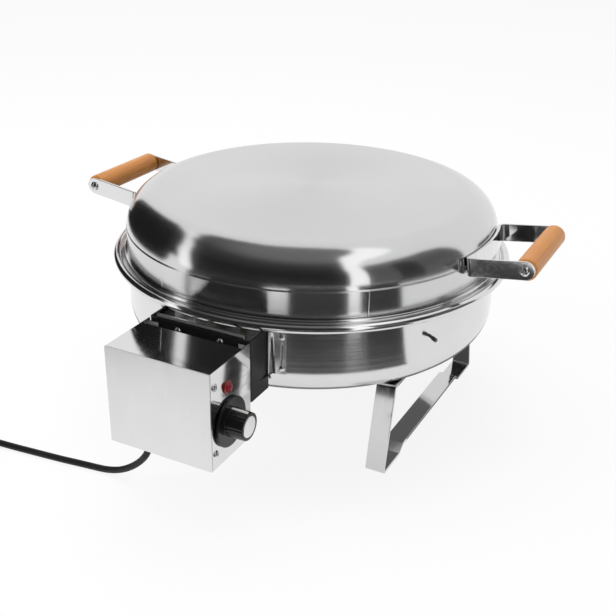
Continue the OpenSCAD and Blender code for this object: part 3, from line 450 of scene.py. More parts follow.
def coilPoint(t, middle):
    # inwards in the lower layer and outwards in the upper one, t counting turns
    s = cordSet
    past = t - s["coilTurns"] / 2
    off = 2 * past * past + 0.125 if abs(past) < 0.25 else abs(past)  # the innermost half turn is eased
    r = s["coilIn"] + s["pitch"] * off
    climb = max(0, min(1, (past + 0.25) * 2))
    z = s["coilZ"] + s["pitch"] * climb * climb * (3 - 2 * climb)
    a = pi / 2 + 2 * pi * t
    return Vector((middle.x + r * cos(a), middle.y + r * sin(a), z))


def cordLine():
    s = cordSet
    gx, gy = s["gland"]
    outer = s["coilIn"] + s["pitch"] * s["coilTurns"] / 2
    coilX, lineY = gx - s["coilSide"], gy - s["coilOff"]
    middle = Vector((coilX, lineY - outer))
    route = [Vector((gx, gy, s["glandEnd"]))]
    for left, front, high in s["turns"]:
        route.append(Vector((gx - left, gy - front, max(s["low"], high))))
    for x in (coilX + s["lead"], coilX):
        route.append(Vector((x, lineY, s["coilZ"])))
    line = smoothRoute(route, s["routeSteps"])
    steps = ceil(s["coilTurns"] * s["turnSteps"])
    line += [coilPoint(s["coilTurns"] * i / steps, middle) for i in range(1, steps + 1)]
    top = s["coilZ"] + s["pitch"]
    tail = [
        Vector((coilX - outer, middle.y - s["tailLen"] * u, top + (s["plugZ"] - top) * v))
        for u, v in s["tail"]
    ]
    return [p * mm for p in line + smoothRoute(tail, s["tailSteps"])[1:]]


cordPoints = cordLine()
cordCurve = bpy.data.curves.new("mainsCord", "CURVE")
cordCurve.dimensions = "3D"
cordCurve.bevel_depth = cordSet["diameter"] / 2
cordCurve.bevel_resolution = cordSet["roundSteps"]
cordCurve.use_fill_caps = True
spline = cordCurve.splines.new("POLY")
spline.points.add(len(cordPoints) - 1)
for point, place in zip(spline.points, cordPoints):
    point.co = (*place, 1)
spline.use_smooth = True
mainsCord = placed("mainsCord", cordCurve)
settle(mainsCord, "base", "cord_black", cordSheath, "mains_cord", "cord_coil", "cord_tail")
plugBody = solidPiece("plugBody", "plug", 0.0007, "base", "black_rubber", blackRubber)
plugPins = solidPiece("plugPins", "plug_pins", 0.0003, "base", "pin_metal", pinSteel)
cordTie = solidPiece("cordTie", "cord_tie", 0.0003, "base", "black_rubber", blackRubber)
solidPiece("cordGland", "cord_gland", 0.0004, "base", "black_rubber", blackRubber)


# lid and pan
onAxis = Matrix.Translation((0, axisY, 0)) @ Matrix.Scale(mm, 4)
lidSet = {
    "radius": 195.6, "foot": 176.2, "band": 25.0, "lap": 0.4, "step": 0.5, "shoulder": 36.0, "crown": 3.0,
    "sheet": 1.2, "lead": 1.2, "lapRound": 0.25, "footRound": 0.55, "hold": 0.5, "columns": 288,
    "seams": (-109.5, -47.8), "seamWidth": 0.35, "seamDeep": 0.25, "seamLow": 0.8, "seamHigh": 0.2,
}
lidLook = {
    "colour": (0.74, 0.74, 0.745), "smooth": 0.12, "rings": 1400, "clouds": 9, "waves": 7, "brushed": 0.8,
    "waveDeep": (0.02, 0.01), "lineDeep": (0.006, 0.0004),
    "top": (0.10, 0.180), "topGloss": (0.20, 0.15), "band": (0.1940, 0.1954), "bandGloss": (0.0, 0.02),
    "cloudy": (0.1, 0.45), "cloudGloss": (-0.02, 0.05),
    "tones": [(0.3, (0.625, 0.625, 0.63)), (0.7, (0.665, 0.665, 0.67))],
}
panSet = {
    "radius": 195.2, "under": 91.0, "depth": 85.0, "curve": 30.0, "sheet": 1.2, "ledge": 3.0, "flare": 1.2,
    "drop": 5.0, "beadAt": 205.8, "bead": 4.13, "wallRound": 0.5, "ledgeRound": 0.4, "gutterRound": 0.9,
    "topRound": 1.1, "lipRound": 0.35, "hair": 0.01, "hold": 0.5, "columns": 288,
    "flatSteps": 12, "insideSteps": 8,
}


def lidFinish():
    # brushed round the axis on the top, polished on shoulder and band
    s = lidLook
    finish = Finish("lidSteel", s["colour"], s["smooth"], 1.0)
    rings, distance = finish.spun()
    lines = finish.noise(rings, s["rings"], detail=3, rough=0.6)
    clouds = finish.noise(finish.coords, s["clouds"], detail=4)
    onTop = finish.spread(distance, *s["top"], *s["topGloss"])
    onBand = finish.spread(distance, *s["band"], *s["bandGloss"])
    gloss = finish.spread(finish.maths(clouds, lines, "MULTIPLY"), *s["cloudy"], *s["cloudGloss"])
    finish.feed("Roughness", finish.maths(finish.maths(onTop, onBand), gloss))
    finish.feed("Base Color", finish.ramp(clouds, s["tones"]))
    finish.bump(finish.noise(finish.coords, s["waves"], detail=1), *s["waveDeep"])
    finish.bump(lines, *s["lineDeep"])
    finish.brushed(s["brushed"])
    return finish.material


def crownLine(reach, top, rise, steps):
    return [Vector((reach * i / steps, top + rise * (1 - (i / steps) ** 2))) for i in range(steps + 1)]


def lidPiece():
    s = lidSet
    shoulderR, innerR = s["radius"] - s["step"], s["radius"] - s["sheet"]
    reach, high = shoulderR - s["shoulder"], s["foot"] + s["band"]
    top, lap = high + s["shoulder"], high + s["lap"]
    line = crownLine(reach, top, s["crown"], steps=30)
    line += arc((reach, high), s["shoulder"], 89, 1.2, steps=44)
    line += held(rounded([
        (shoulderR, high + s["lead"], 0), (shoulderR, lap, s["lapRound"]), (s["radius"], lap, s["lapRound"]),
        (s["radius"], s["foot"], s["footRound"]), (innerR, s["foot"], s["footRound"]), (innerR, high, 0),
    ]), s["hold"])
    line += arc((reach, high), s["shoulder"] - s["sheet"], 1, 90, steps=30)
    line += crownLine(reach, top - s["sheet"], s["crown"], steps=20)[-2::-1]
    angles = set(evenAngles(s["columns"]))
    for seam in s["seams"]:
        for k in (-2, -1, 0, 1, 2):
            angles.add(radians((seam + k * s["seamWidth"] / 2) % 360))
    seamLow, seamHigh = s["foot"] + s["seamLow"], high - s["seamHigh"]

    def inset(angle):
        for seam in s["seams"]:
            off = abs((angle - radians(seam) + pi) % (2 * pi) - pi)
            if off < radians(s["seamWidth"] / 4):
                return lambda p: s["seamDeep"] if p.x > shoulderR and seamLow < p.y < seamHigh else 0
        return None

    return turnedPiece("lidShell", line, sorted(angles), onAxis, inset)


def panPiece():
    s = panSet
    radius, curve, half = s["radius"], s["curve"], s["sheet"] / 2
    rim, bead = s["under"] + s["depth"], s["under"] + s["depth"] - s["drop"]
    foot, ledge, inner = radius - curve, radius + s["ledge"], radius - s["sheet"]
    meet = s["beadAt"] - sqrt(s["bead"] ** 2 - half ** 2)
    line = [Vector((foot * i / s["flatSteps"], s["under"])) for i in range(s["flatSteps"])]
    line += arc((foot, s["under"] + curve), curve, -90, 0, steps=28)
    line += held(rounded([
        (radius, s["under"] + curve + s["hair"], 0), (radius, rim - s["sheet"], s["wallRound"]),
        (ledge - half, rim - s["sheet"], s["ledgeRound"]),
        (ledge + s["flare"] - half, bead - half, s["gutterRound"]), (meet, bead - half, 0),
    ]), s["hold"])[1:]
    openDeg = atan2(half, s["beadAt"] - meet) * 180 / pi
    line += arc((s["beadAt"], bead), s["bead"], 180 + openDeg, 540 - openDeg, steps=32)[1:]
    line += held(rounded([
        (meet, bead + half, 0), (ledge + s["flare"] + half, bead + half, s["gutterRound"]),
        (ledge + half, rim, s["topRound"]), (inner, rim, s["lipRound"]), (inner, s["under"] + curve, 0),
    ]), s["hold"])[1:]
    line += arc((foot, s["under"] + curve), curve - s["sheet"], 0, -90, steps=20)[1:]
    inside = s["insideSteps"]
    line += [Vector((foot * i / inside, s["under"] + s["sheet"])) for i in range(inside - 1, -1, -1)]
    return turnedPiece("panShell", line, evenAngles(s["columns"]), onAxis)


lidSteel = lidFinish()
settle(lidPiece(), "cover", "brushed_lid", lidSteel, "lid")
settle(panPiece(), "base", "polished_steel", panSteel, "pan", "pan_rim")
print("stage: lid and pan")


# handles and grips
handleSet = {
    "reach": 246.0, "height": 211.2, "slope": 8.0, "span": 109.2, "armLen": 51.145, "width": 18.0,
    "thick": 3.0, "bend": 4.0, "edge": 0.5, "stud": 2.5, "studLen": 10.0, "studGap": 32.0,
    "studRound": 0.5, "studSides": 20, "hug": 197.45, "hugSteps": 3,
}
gripSet = {"radius": 11.0, "half": 51.5, "round": 2.2, "hold": 1.0, "sides": 64}
woodSet = {
    "grain": (90, 5, 90), "pores": (900, 40, 900), "share": 0.75, "gloss": (0.34, 0.5),
    "porous": (0.3, 0.7), "poreDeep": (0.12, 0.0003), "colour": (0.50, 0.21, 0.06), "smooth": 0.42,
    "tones": [(0.30, (0.40, 0.135, 0.022)), (0.48, (0.58, 0.225, 0.042)), (0.68, (0.68, 0.30, 0.070))],
}


def woodFinish():
    # straight grain along the grips, with fine pores
    s = woodSet
    finish = Finish("oiledWood", s["colour"], s["smooth"])
    figure = finish.noise(finish.mapped(s["grain"]), 1, detail=5, rough=0.55, distortion=0.6)
    pores = finish.noise(finish.mapped(s["pores"]), 1, detail=2)
    mainPart = finish.maths(figure, s["share"], "MULTIPLY")
    porePart = finish.maths(pores, 1 - s["share"], "MULTIPLY")
    finish.feed("Base Color", finish.ramp(finish.maths(mainPart, porePart), s["tones"]))
    finish.feed("Roughness", finish.spread(pores, *s["porous"], *s["gloss"]))
    finish.bump(pores, *s["poreDeep"])
    return finish.material


def handlePlace(side):
    place = Matrix.Translation((handleSet["reach"] * mm, axisY, handleSet["height"] * mm))
    place = place @ Matrix.Rotation(-radians(handleSet["slope"]), 4, "Y") @ Matrix.Scale(mm, 4)
    return place if side > 0 else Matrix.Scale(-1, 4, (1, 0, 0)) @ place


def handlePiece(name, side):
    s = handleSet
    armY = (s["span"] - s["thick"]) / 2
    path = [(0, -armY, 0)]
    for i in range(-s["hugSteps"], s["hugSteps"] + 1):
        a = asin(armY / s["hug"]) * i / s["hugSteps"]
        sink = s["hug"] * (1 - cos(a)) * cos(radians(s["slope"]))
        path.append((s["hug"] - lidSet["radius"] - s["armLen"] - sink, s["hug"] * sin(a), s["bend"]))
    path.append((0, armY, 0))
    bm = bmesh.new()
    bentStrip(bm, rounded(path, steps=10), s["width"], s["thick"], s["edge"], s["width"] / 2)
    radius, end = s["stud"], s["studLen"]
    chain = rounded([(0, 0, 0), (radius, 0, 0), (radius, end, s["studRound"]), (0, end, 0)], steps=3)
    for y in (-s["studGap"] / 2, s["studGap"] / 2):
        stud = bmesh.new()
        lathe(stud, chain, evenAngles(s["studSides"]))
        turn = Matrix.Translation((-s["armLen"], y, 0)) @ Matrix.Rotation(-pi / 2, 4, "Y")
        bmesh.ops.transform(stud, matrix=turn, verts=stud.verts)
        spare = bpy.data.meshes.new("spare")
        stud.to_mesh(spare)
        bm.from_mesh(spare)
        stud.free()
        bpy.data.meshes.remove(spare)
    return evenShading(finishMesh(name, bm, handlePlace(side)))


def gripPiece(name, side):
    s = gripSet
    chain = rounded([
        (0, -s["half"], 0), (s["radius"], -s["half"], s["round"]),
        (s["radius"], s["half"], s["round"]), (0, s["half"], 0),
    ], steps=8)
    place = handlePlace(side) @ Matrix.Rotation(pi / 2, 4, "X")
    return turnedPiece(name, held(chain, s["hold"]), evenAngles(s["sides"]), place)


oiledWood = woodFinish()
for word, side in (("left", -1), ("right", 1)):
    settle(handlePiece(word + "Handle", side), "cover", "polished_steel", mirrorSteel, word + "_handle")
    grip = settle(gripPiece(word + "Grip", side), "cover", "grip_wood", oiledWood, word + "_grip")
    grip.visible_glossy = side < 0  # the photographed lid shows no wood at its right handle
print("stage: handles")


# legs
legSet = {
    "gap": 278.0, "width": 20.0, "thick": 3.0, "front": 129.0, "back": 129.0, "foot": 38.0, "span": 10.0,
    "lean": 12.0, "tabEnd": 40.0, "bend": 2.5, "riser": 11.0, "top": 91.0, "edge": 0.45,
}


def legPiece(name, side):
    s = legSet
    tab, foot, span = s["top"] - s["thick"] / 2, s["thick"] / 2, s["span"] - s["thick"] / 2
    lean = (tab - foot) * tan(radians(s["lean"]))
    front, back = s["thick"] / 2 - s["front"], s["back"] - s["thick"] / 2
    corners = [
        (-s["tabEnd"], tab), (front + lean, tab), (front, foot), (front + s["foot"], foot),
        (front + s["foot"] + s["riser"], span), (back - s["foot"] - s["riser"], span),
        (back - s["foot"], foot), (back, foot), (back - lean, tab), (s["tabEnd"], tab),
    ]
    bm = bmesh.new()
    line = rounded([(u, v, s["bend"]) for u, v in corners], steps=10)
    bentStrip(bm, line, s["width"], s["thick"], s["edge"])
    place = Matrix.Translation((side * s["gap"] / 2 * mm, axisY, 0)) @ Matrix.Scale(mm, 4)
    turn = Matrix(((0, 0, 1, 0), (1, 0, 0, 0), (0, 1, 0, 0), (0, 0, 0, 1)))
    return evenShading(finishMesh(name, bm, place @ turn))


for word, side in (("left", -1), ("right", 1)):
    settle(legPiece(word + "Leg", side), "base", "strip_steel", stripSteel, word + "_leg")
print("stage: legs")


# control box, bracket and frame
boxPieces = [
    ("controlHousing", "control_housing", 0.00045, "polished_steel", housingSteel),
    ("frontPanel", "front_panel", 0.0005, "brushed_steel", panelSteel),
    ("mountingBracket", "mounting_bracket", 0.0004, "black_paint", blackPaint),
    ("wallFrame", "wall_frame", 0.0003, "brushed_steel", frameSteel),
    ("sidePeg", "side_peg", 0.0003, "dark_peg", pegSteel),
]
for name, node, width, slotName, finish in boxPieces:
    solidPiece(name, node, width, "base", slotName, finish)


# knob, cap and lamp
knobSet = {
    "place": (53.8, -219.9, 105.5), "gap": 0.6, "skirt": 23.5, "skirtH": 2.5, "grip": 13.5, "taper": 0.6,
    "length": 20.0, "cap": 10.1, "sink": 0.8, "hub": 6.0, "hubDeep": 2.0, "sharp": 0.2, "round": 0.9,
    "flutes": 24, "flute": 0.28, "fluteLow": 0.8, "fluteHigh": 0.4, "hold": 0.5, "sides": 192,
    "rib": (3.0, 2.0), "ribIn": 0.9, "ribLow": 0.5, "ribHigh": 1.5,
}
capSet = {
    "colour": (0.82, 0.82, 0.82), "smooth": 0.24, "rings": 1800, "gloss": (0.16, 0.34),
    "ringed": (0.3, 0.7), "deep": (0.08, 0.0004),
}
lampSet = {
    "place": (53.8, -222.5, 141.0), "flange": 6.0, "dome": 4.6, "domeSink": 1, "flangeH": 1.5, "neck": 4.0,
    "neckLen": 5.0, "sharp": 0.2, "soft": 0.3, "round": 0.5, "sides": 64,
}


def capFinish():
    # pale disc with turned rings about the knob's axis
    s = capSet
    finish = Finish("capSilver", s["colour"], s["smooth"], 1.0)
    place = finish.mapped((0, 1, 1), [0] + [-p * mm for p in knobSet["place"][1:]])
    rings = finish.noise(finish.length(place), s["rings"], detail=2)
    finish.feed("Roughness", finish.spread(rings, *s["ringed"], *s["gloss"]))
    finish.bump(rings, *s["deep"])
    return finish.material


def sidePlace(place):
    # +Z of the piece points out of the right side of the box, its -X points up
    return Matrix.Translation(Vector(place) * mm) @ Matrix.Rotation(pi / 2, 4, "Y") @ Matrix.Scale(mm, 4)


def knobPiece():
    s = knobSet
    base, end = s["gap"], s["gap"] + s["length"]
    hub, skirt, sunk = base + s["hubDeep"], base + s["skirtH"], end - s["sink"]
    chain = held(rounded([
        (0, hub, 0), (s["hub"], hub, s["sharp"]), (s["hub"], base, s["sharp"]),
        (s["skirt"], base, 2 * s["sharp"]), (s["skirt"], skirt, s["round"]),
        (s["grip"], skirt, 3 * s["sharp"]), (s["grip"] - s["taper"], end, s["round"]),
        (s["cap"], end, s["sharp"]), (s["cap"], sunk, s["sharp"] / 2), (0, sunk, 0),
    ], steps=5), s["hold"])

    def flute(angle):
        wave = s["flute"] * (0.5 - 0.5 * cos(angle * s["flutes"]))
        low, high = skirt + s["fluteLow"], end - s["fluteHigh"]
        return lambda p: wave if low < p.y < high and p.x > s["cap"] + s["round"] else 0

    return turnedPiece("knobBody", chain, evenAngles(s["sides"]), sidePlace(s["place"]), flute)


def pointerPiece():
    # pale rib along the knob's grip
    s = knobSet
    low, high = s["gap"] + s["skirtH"] - s["ribLow"], s["gap"] + s["length"] - s["ribHigh"]
    bm = bmesh.new()
    bmesh.ops.create_cube(bm, size=1.0)
    ribSize = Matrix.Diagonal((*s["rib"], high - low, 1))
    ribPlace = Matrix.Translation((-s["grip"] + s["ribIn"], 0, (low + high) / 2))
    return finishMesh("knobPointer", bm, sidePlace(s["place"]) @ ribPlace @ ribSize, False)


def lampPiece():
    s = lampSet
    chain = rounded([
        (0, -s["neckLen"], 0), (s["neck"], -s["neckLen"], s["soft"]), (s["neck"], 0, 0),
        (s["flange"], 0, s["sharp"]), (s["flange"], s["flangeH"], s["round"]),
        (s["dome"], s["flangeH"], s["soft"]),
    ], steps=4)
    chain += arc((0, s["flangeH"] - s["domeSink"]), s["dome"], 14, 90, steps=14)
    return turnedPiece("lampLens", chain, evenAngles(s["sides"]), sidePlace(s["place"]))


settle(knobPiece(), "control_knob", "black_plastic", blackPlastic, "knob")
settle(pointerPiece(), "control_knob", "white_plastic", whitePlastic, "knob")
solidPiece("knobCap", "knob_cap", 0.0002, "control_knob", "cap_silver", capFinish())
settle(lampPiece(), "base", "red_lens", redLens, "lamp_lens")
print("stage: control box")


# geometry trees, with their inputs named and set by identifier
def groupTree(name, result, inputs):
    tree = bpy.data.node_groups.new(name, "GeometryNodeTree")
    sockets = {}
    for word, kind in inputs.items():
        socket = tree.interface.new_socket(word, in_out="INPUT", socket_type="NodeSocket" + kind)
        sockets[word] = socket.identifier
    tree.interface.new_socket(result, in_out="OUTPUT", socket_type="NodeSocketGeometry")
    return tree, sockets, addNode(tree, "NodeGroupInput").outputs


def paintedEnd(tree, geometry, finish, smooth=False):
    last = addNode(tree, "GeometryNodeRealizeInstances", {"Geometry": geometry})
    if smooth:
        last = addNode(tree, "GeometryNodeSetShadeSmooth", {"Geometry": last})
    last = addNode(tree, "GeometryNodeSetMaterial", {"Geometry": last, "Material": finish})
    addNode(tree, "NodeGroupOutput", {0: last})


def grown(piece, tree, sockets, values):
    nodes = piece.modifiers.new(tree.name, "NODES")
    nodes.node_group = tree
    for word, value in values.items():
        nodes[sockets[word]] = value
    return plainMesh(piece)


# screws, bolts and rivets
headSet = {  # for a head of diameter 1
    "height": 0.32, "sides": 32, "recess": (0.56, 0.11, 0.5), "recessAt": 0.40, "sharp": 40,
    "shankSides": 20, "shankDrop": 0.499,
}


def domedHead(recess):
    s = headSet
    crown = (0.25 + s["height"] ** 2) / (2 * s["height"])
    reach = acos((crown - s["height"]) / crown) * 180 / pi
    chain = [Vector((0, 0))] + arc((0, s["height"] - crown), crown, 90 - reach, 90, steps=8)
    head = turnedPiece("domedHead", chain, evenAngles(s["sides"]))
    if recess:
        cutter = bmesh.new()
        length, width, deep = s["recess"]
        for size in ((length, width, deep), (width, length, deep)):
            box = bmesh.ops.create_cube(cutter, size=1.0)["verts"]
            place = Matrix.Translation((0, 0, s["recessAt"])) @ Matrix.Diagonal((*size, 1))
            bmesh.ops.transform(cutter, matrix=place, verts=box)
        tool = finishMesh("recess", cutter, smooth=False)
        cut = head.modifiers.new("cut", "BOOLEAN")
        cut.object = tool
        cut.solver = "EXACT"
        cut.use_self = True
        plainMesh(head)
        bpy.data.objects.remove(tool)
        head.data.set_sharp_from_angle(angle=radians(s["sharp"]))
    return head


def fastenerTree():
    # a head and its shank at each spot, turned to the spot's outward direction
    tree, sockets, given = groupTree("fasteners", "Fasteners", {
        "Spots": "Geometry", "Head": "Object", "Head Width": "Float", "Head Height": "Float",
        "Shank Radius": "Float", "Shank Length": "Float", "Finish": "Material",
    })
    head = addNode(tree, "GeometryNodeObjectInfo", {"Object": given["Head"]})
    tall = mathsNode(tree, "DIVIDE", given["Head Height"], headSet["height"])
    width = given["Head Width"]
    size = addNode(tree, "ShaderNodeCombineXYZ", {"X": width, "Y": width, "Z": tall})
    grow = addNode(tree, "GeometryNodeTransform", {"Geometry": head.outputs["Geometry"], "Scale": size})
    length = given["Shank Length"]
    shank = addNode(tree, "GeometryNodeMeshCylinder", {
        "Vertices": headSet["shankSides"], "Radius": given["Shank Radius"], "Depth": length,
    })
    drop = mathsNode(tree, "MULTIPLY", length, -headSet["shankDrop"])
    down = addNode(tree, "ShaderNodeCombineXYZ", {"Z": drop})
    lower = addNode(tree, "GeometryNodeTransform", {"Geometry": shank, "Translation": down})
    both = addNode(tree, "GeometryNodeJoinGeometry", {"Geometry": lower})
    setInput(tree, both.inputs["Geometry"], grow)
    way = addNode(tree, "GeometryNodeInputNamedAttribute", {"Name": "outward"}, data_type="FLOAT_VECTOR")
    turn = addNode(tree, "FunctionNodeAlignRotationToVector", {"Vector": way.outputs["Attribute"]}, axis="Z")
    put = addNode(tree, "GeometryNodeInstanceOnPoints", {
        "Points": given["Spots"], "Instance": both, "Rotation": turn,
    })
    paintedEnd(tree, put, given["Finish"])
    return tree, sockets


fasteners, fastenerSockets = fastenerTree()
crossHead, plainHead = domedHead(True), domedHead(False)


def fastenerPiece(name, spots, head, finish, width, height, radius, length):
    mesh = bpy.data.meshes.new(name)
    mesh.from_pydata([place for place, way in spots], [], [])
    outward = mesh.attributes.new("outward", "FLOAT_VECTOR", "POINT")
    for item, (place, way) in zip(outward.data, spots):
        item.vector = way
    return grown(placed(name, mesh), fasteners, fastenerSockets, {
        "Head": head, "Head Width": width * mm, "Head Height": height * mm,
        "Shank Radius": radius * mm, "Shank Length": length * mm, "Finish": finish,
    })


# places of the fasteners, from the origin or, for rivets and legs, from the pan's axis
spotSet = {
    "rivetR": 196.75, "rivetTurn": 19.4, "rivetZ": (125.0, 157.0), "legY": 52.0,
    "boxX": 53.8, "boxY": -242.5, "boxZ": (84.0, 150.0), "hangX": 22.6, "hangY": -183.5, "hangZ": 158.0,
    "backX": 46.0, "backY": -184.7, "backZ": (112.0, 149.0),
}


def spot(x, y, z, way, base=0.0):
    return Vector((x, y, z)) * mm + Vector((0, base, 0)), Vector(way)


def gripSpot(side, end):
    return handlePlace(side) @ Vector((0, end * handleSet["span"] / 2, 0)), Vector((0, end, 0))


def rivetSpot(side, z):
    # in a wing of the frame, square to the pan wall
    a = radians(side * spotSet["rivetTurn"])
    way = Vector((sin(a), -cos(a), 0))
    return spot(way.x * spotSet["rivetR"], way.y * spotSet["rivetR"], z, way, axisY)


p, sides = spotSet, (-1, 1)
legX, legZ = legSet["gap"] / 2, legSet["top"] - legSet["thick"]
gripSpots = [gripSpot(side, end) for side in sides for end in sides]
boxSpots = [spot(side * p["boxX"], p["boxY"], z, (side, 0, 0)) for side in sides for z in p["boxZ"]]
hangSpots = [spot(side * p["hangX"], p["hangY"], p["hangZ"], (0, -1, 0)) for side in sides]
backSpots = [spot(side * p["backX"], p["backY"], z, (0, -1, 0)) for side in sides for z in p["backZ"]]
legSpots = [spot(side * legX, end * p["legY"], legZ, (0, 0, -1), axisY) for side in sides for end in sides]
rivetSpots = [rivetSpot(side, z) for side in sides for z in p["rivetZ"]]
screwLook, rivetLook = (crossHead, "zinc_steel", zincSteel), (plainHead, "rivet_aluminium", rivetMetal)
fastenerSet = [  # at the end: width and height of the head, radius and length of the shank
    ("gripScrews", "cover", "grip_screws", gripSpots, screwLook, 10.0, 3.4, 2.0, 22.0),
    ("panelScrews", "base", "panel_screws", boxSpots, screwLook, 7.4, 2.2, 1.75, 5.4),
    ("bracketScrews", "base", "bracket_screws", hangSpots, screwLook, 8.0, 2.6, 2.0, 7.8),
    ("housingScrews", "base", "housing_screws", backSpots, screwLook, 7.0, 2.2, 1.75, 9.0),
    ("legBolts", "base", "leg_bolts", legSpots, screwLook, 9.5, 3.2, 2.5, 9.2),
    ("frameRivets", "base", "frame_rivets", rivetSpots, rivetLook, 6.0, 1.4, 1.6, 3.8),
]
for name, body, node, spots, (head, slotName, finish), *sizes in fastenerSet:
    settle(fastenerPiece(name, spots, head, finish, *sizes), body, slotName, finish, node)
for head in (crossHead, plainHead):
    bpy.data.objects.remove(head)
print("stage: fasteners")


# grate
grateSet = {
    "ring": 171.0, "ringWire": 5.0, "height": 154.9, "pitch": 16.0, "bars": 10, "barWire": 4.0, "rise": 3.5,
    "ties": 85.5, "ringSteps": 160, "wireSides": 16, "barSides": 14, "sharp": 50,
}


def grateTree():
    s = grateSet
    tree, sockets, given = groupTree("grate", "Grate", {
        "Ring Radius": "Float", "Ring Wire": "Float", "Bar Wire": "Float", "Pitch": "Float", "Bars": "Int",
        "Rise": "Float", "Tie Place": "Float", "Finish": "Material",
    })
    radius = given["Ring Radius"]

    def number(operation, *values):
        return mathsNode(tree, operation, *values)

    def vector(**parts):
        return addNode(tree, "ShaderNodeCombineXYZ", parts)

    def circle(size, steps):
        return addNode(tree, "GeometryNodeCurvePrimitiveCircle", {"Radius": size, "Resolution": steps})

    def rods(count, pitch, size, rise, turned):
        # rods across the ring, each as long as the chord at its place
        first = number("MULTIPLY", number("SUBTRACT", count, 1), number("MULTIPLY", pitch, -0.5))
        row = addNode(tree, "GeometryNodeMeshLine", {
            "Count": count, "Offset": vector(X=pitch), "Start Location": vector(X=first, Z=rise),
        })
        place = addNode(tree, "GeometryNodeInputPosition")
        across = number("ABSOLUTE", addNode(tree, "ShaderNodeSeparateXYZ", {0: place}).outputs["X"])
        chord = number("SUBTRACT", number("MULTIPLY", radius, radius), number("POWER", across, 2))
        rod = addNode(tree, "GeometryNodeMeshCylinder", {
            "Vertices": s["barSides"], "Depth": 2.0, "Radius": number("MULTIPLY", size, 0.5),
        })
        put = addNode(tree, "GeometryNodeInstanceOnPoints", {
            "Points": row, "Instance": rod, "Rotation": (pi / 2, 0, 0),
            "Scale": vector(X=1, Y=1, Z=number("SQRT", chord)),
        })
        turn = addNode(tree, "GeometryNodeTransform", {"Geometry": put, "Rotation": (0, 0, turned)})
        setInput(tree, join.inputs["Geometry"], turn)

    tube = addNode(tree, "GeometryNodeCurveToMesh", {
        "Curve": circle(radius, s["ringSteps"]),
        "Profile Curve": circle(number("MULTIPLY", given["Ring Wire"], 0.5), s["wireSides"]),
    })
    join = addNode(tree, "GeometryNodeJoinGeometry", {"Geometry": tube})
    rods(given["Bars"], given["Pitch"], given["Bar Wire"], given["Rise"], 0.0)
    rods(2, number("MULTIPLY", given["Tie Place"], 2.0), given["Ring Wire"], 0.0, pi / 2)
    paintedEnd(tree, join, given["Finish"], True)
    return tree, sockets


def gratePiece():
    s = grateSet
    piece = placed("grateWires", bpy.data.meshes.new("grateWires"))
    grown(piece, *grateTree(), {
        "Ring Radius": s["ring"] * mm, "Ring Wire": s["ringWire"] * mm, "Bar Wire": s["barWire"] * mm,
        "Pitch": s["pitch"] * mm, "Bars": 2 * s["bars"] + 1, "Rise": s["rise"] * mm,
        "Tie Place": s["ties"] * mm, "Finish": wireSteel,
    })
    piece.data.transform(Matrix.Translation((0, axisY, s["height"] * mm)))
    piece.data.set_sharp_from_angle(angle=radians(s["sharp"]))
    return piece


settle(gratePiece(), "grill_grate", "grate_wire", wireSteel, "grate")
print("stage: grate")


# pieces that stay as their solids
kept = {
    "leg_nuts": zincSteel, "heating_element": heaterSheath, "element_clips": stripSteel,
    "element_bushings": turnedBrass, "bushing_nuts": turnedBrass, "bracket_nuts": zincSteel,
    "thermostat": ivoryPlastic, "terminal_block": whitePlastic, "lamp_body": whitePlastic,
    "peg_nut": zincSteel, "thermostat_spindle": zincSteel, "drip_tray": traySteel, "handle_nuts": zincSteel,
}
for name, finish in kept.items():
    for socket in cadNodes[name].material_slots:
        socket.material = finish


# floor, flags and light; bearings count from the camera's side
stageSet = {
    "floor": 9.0, "paper": 0.9, "glow": 0.86, "world": 0.62, "backdrop": 0.965, "towards": -63.2,
    "middle": (0, axisY, 0.15), "bands": (0.0, 0.5, 0.8, 0.94), "step": 4, "rows": 12,
    "matZ": 0.002, "matSteps": 24,
}
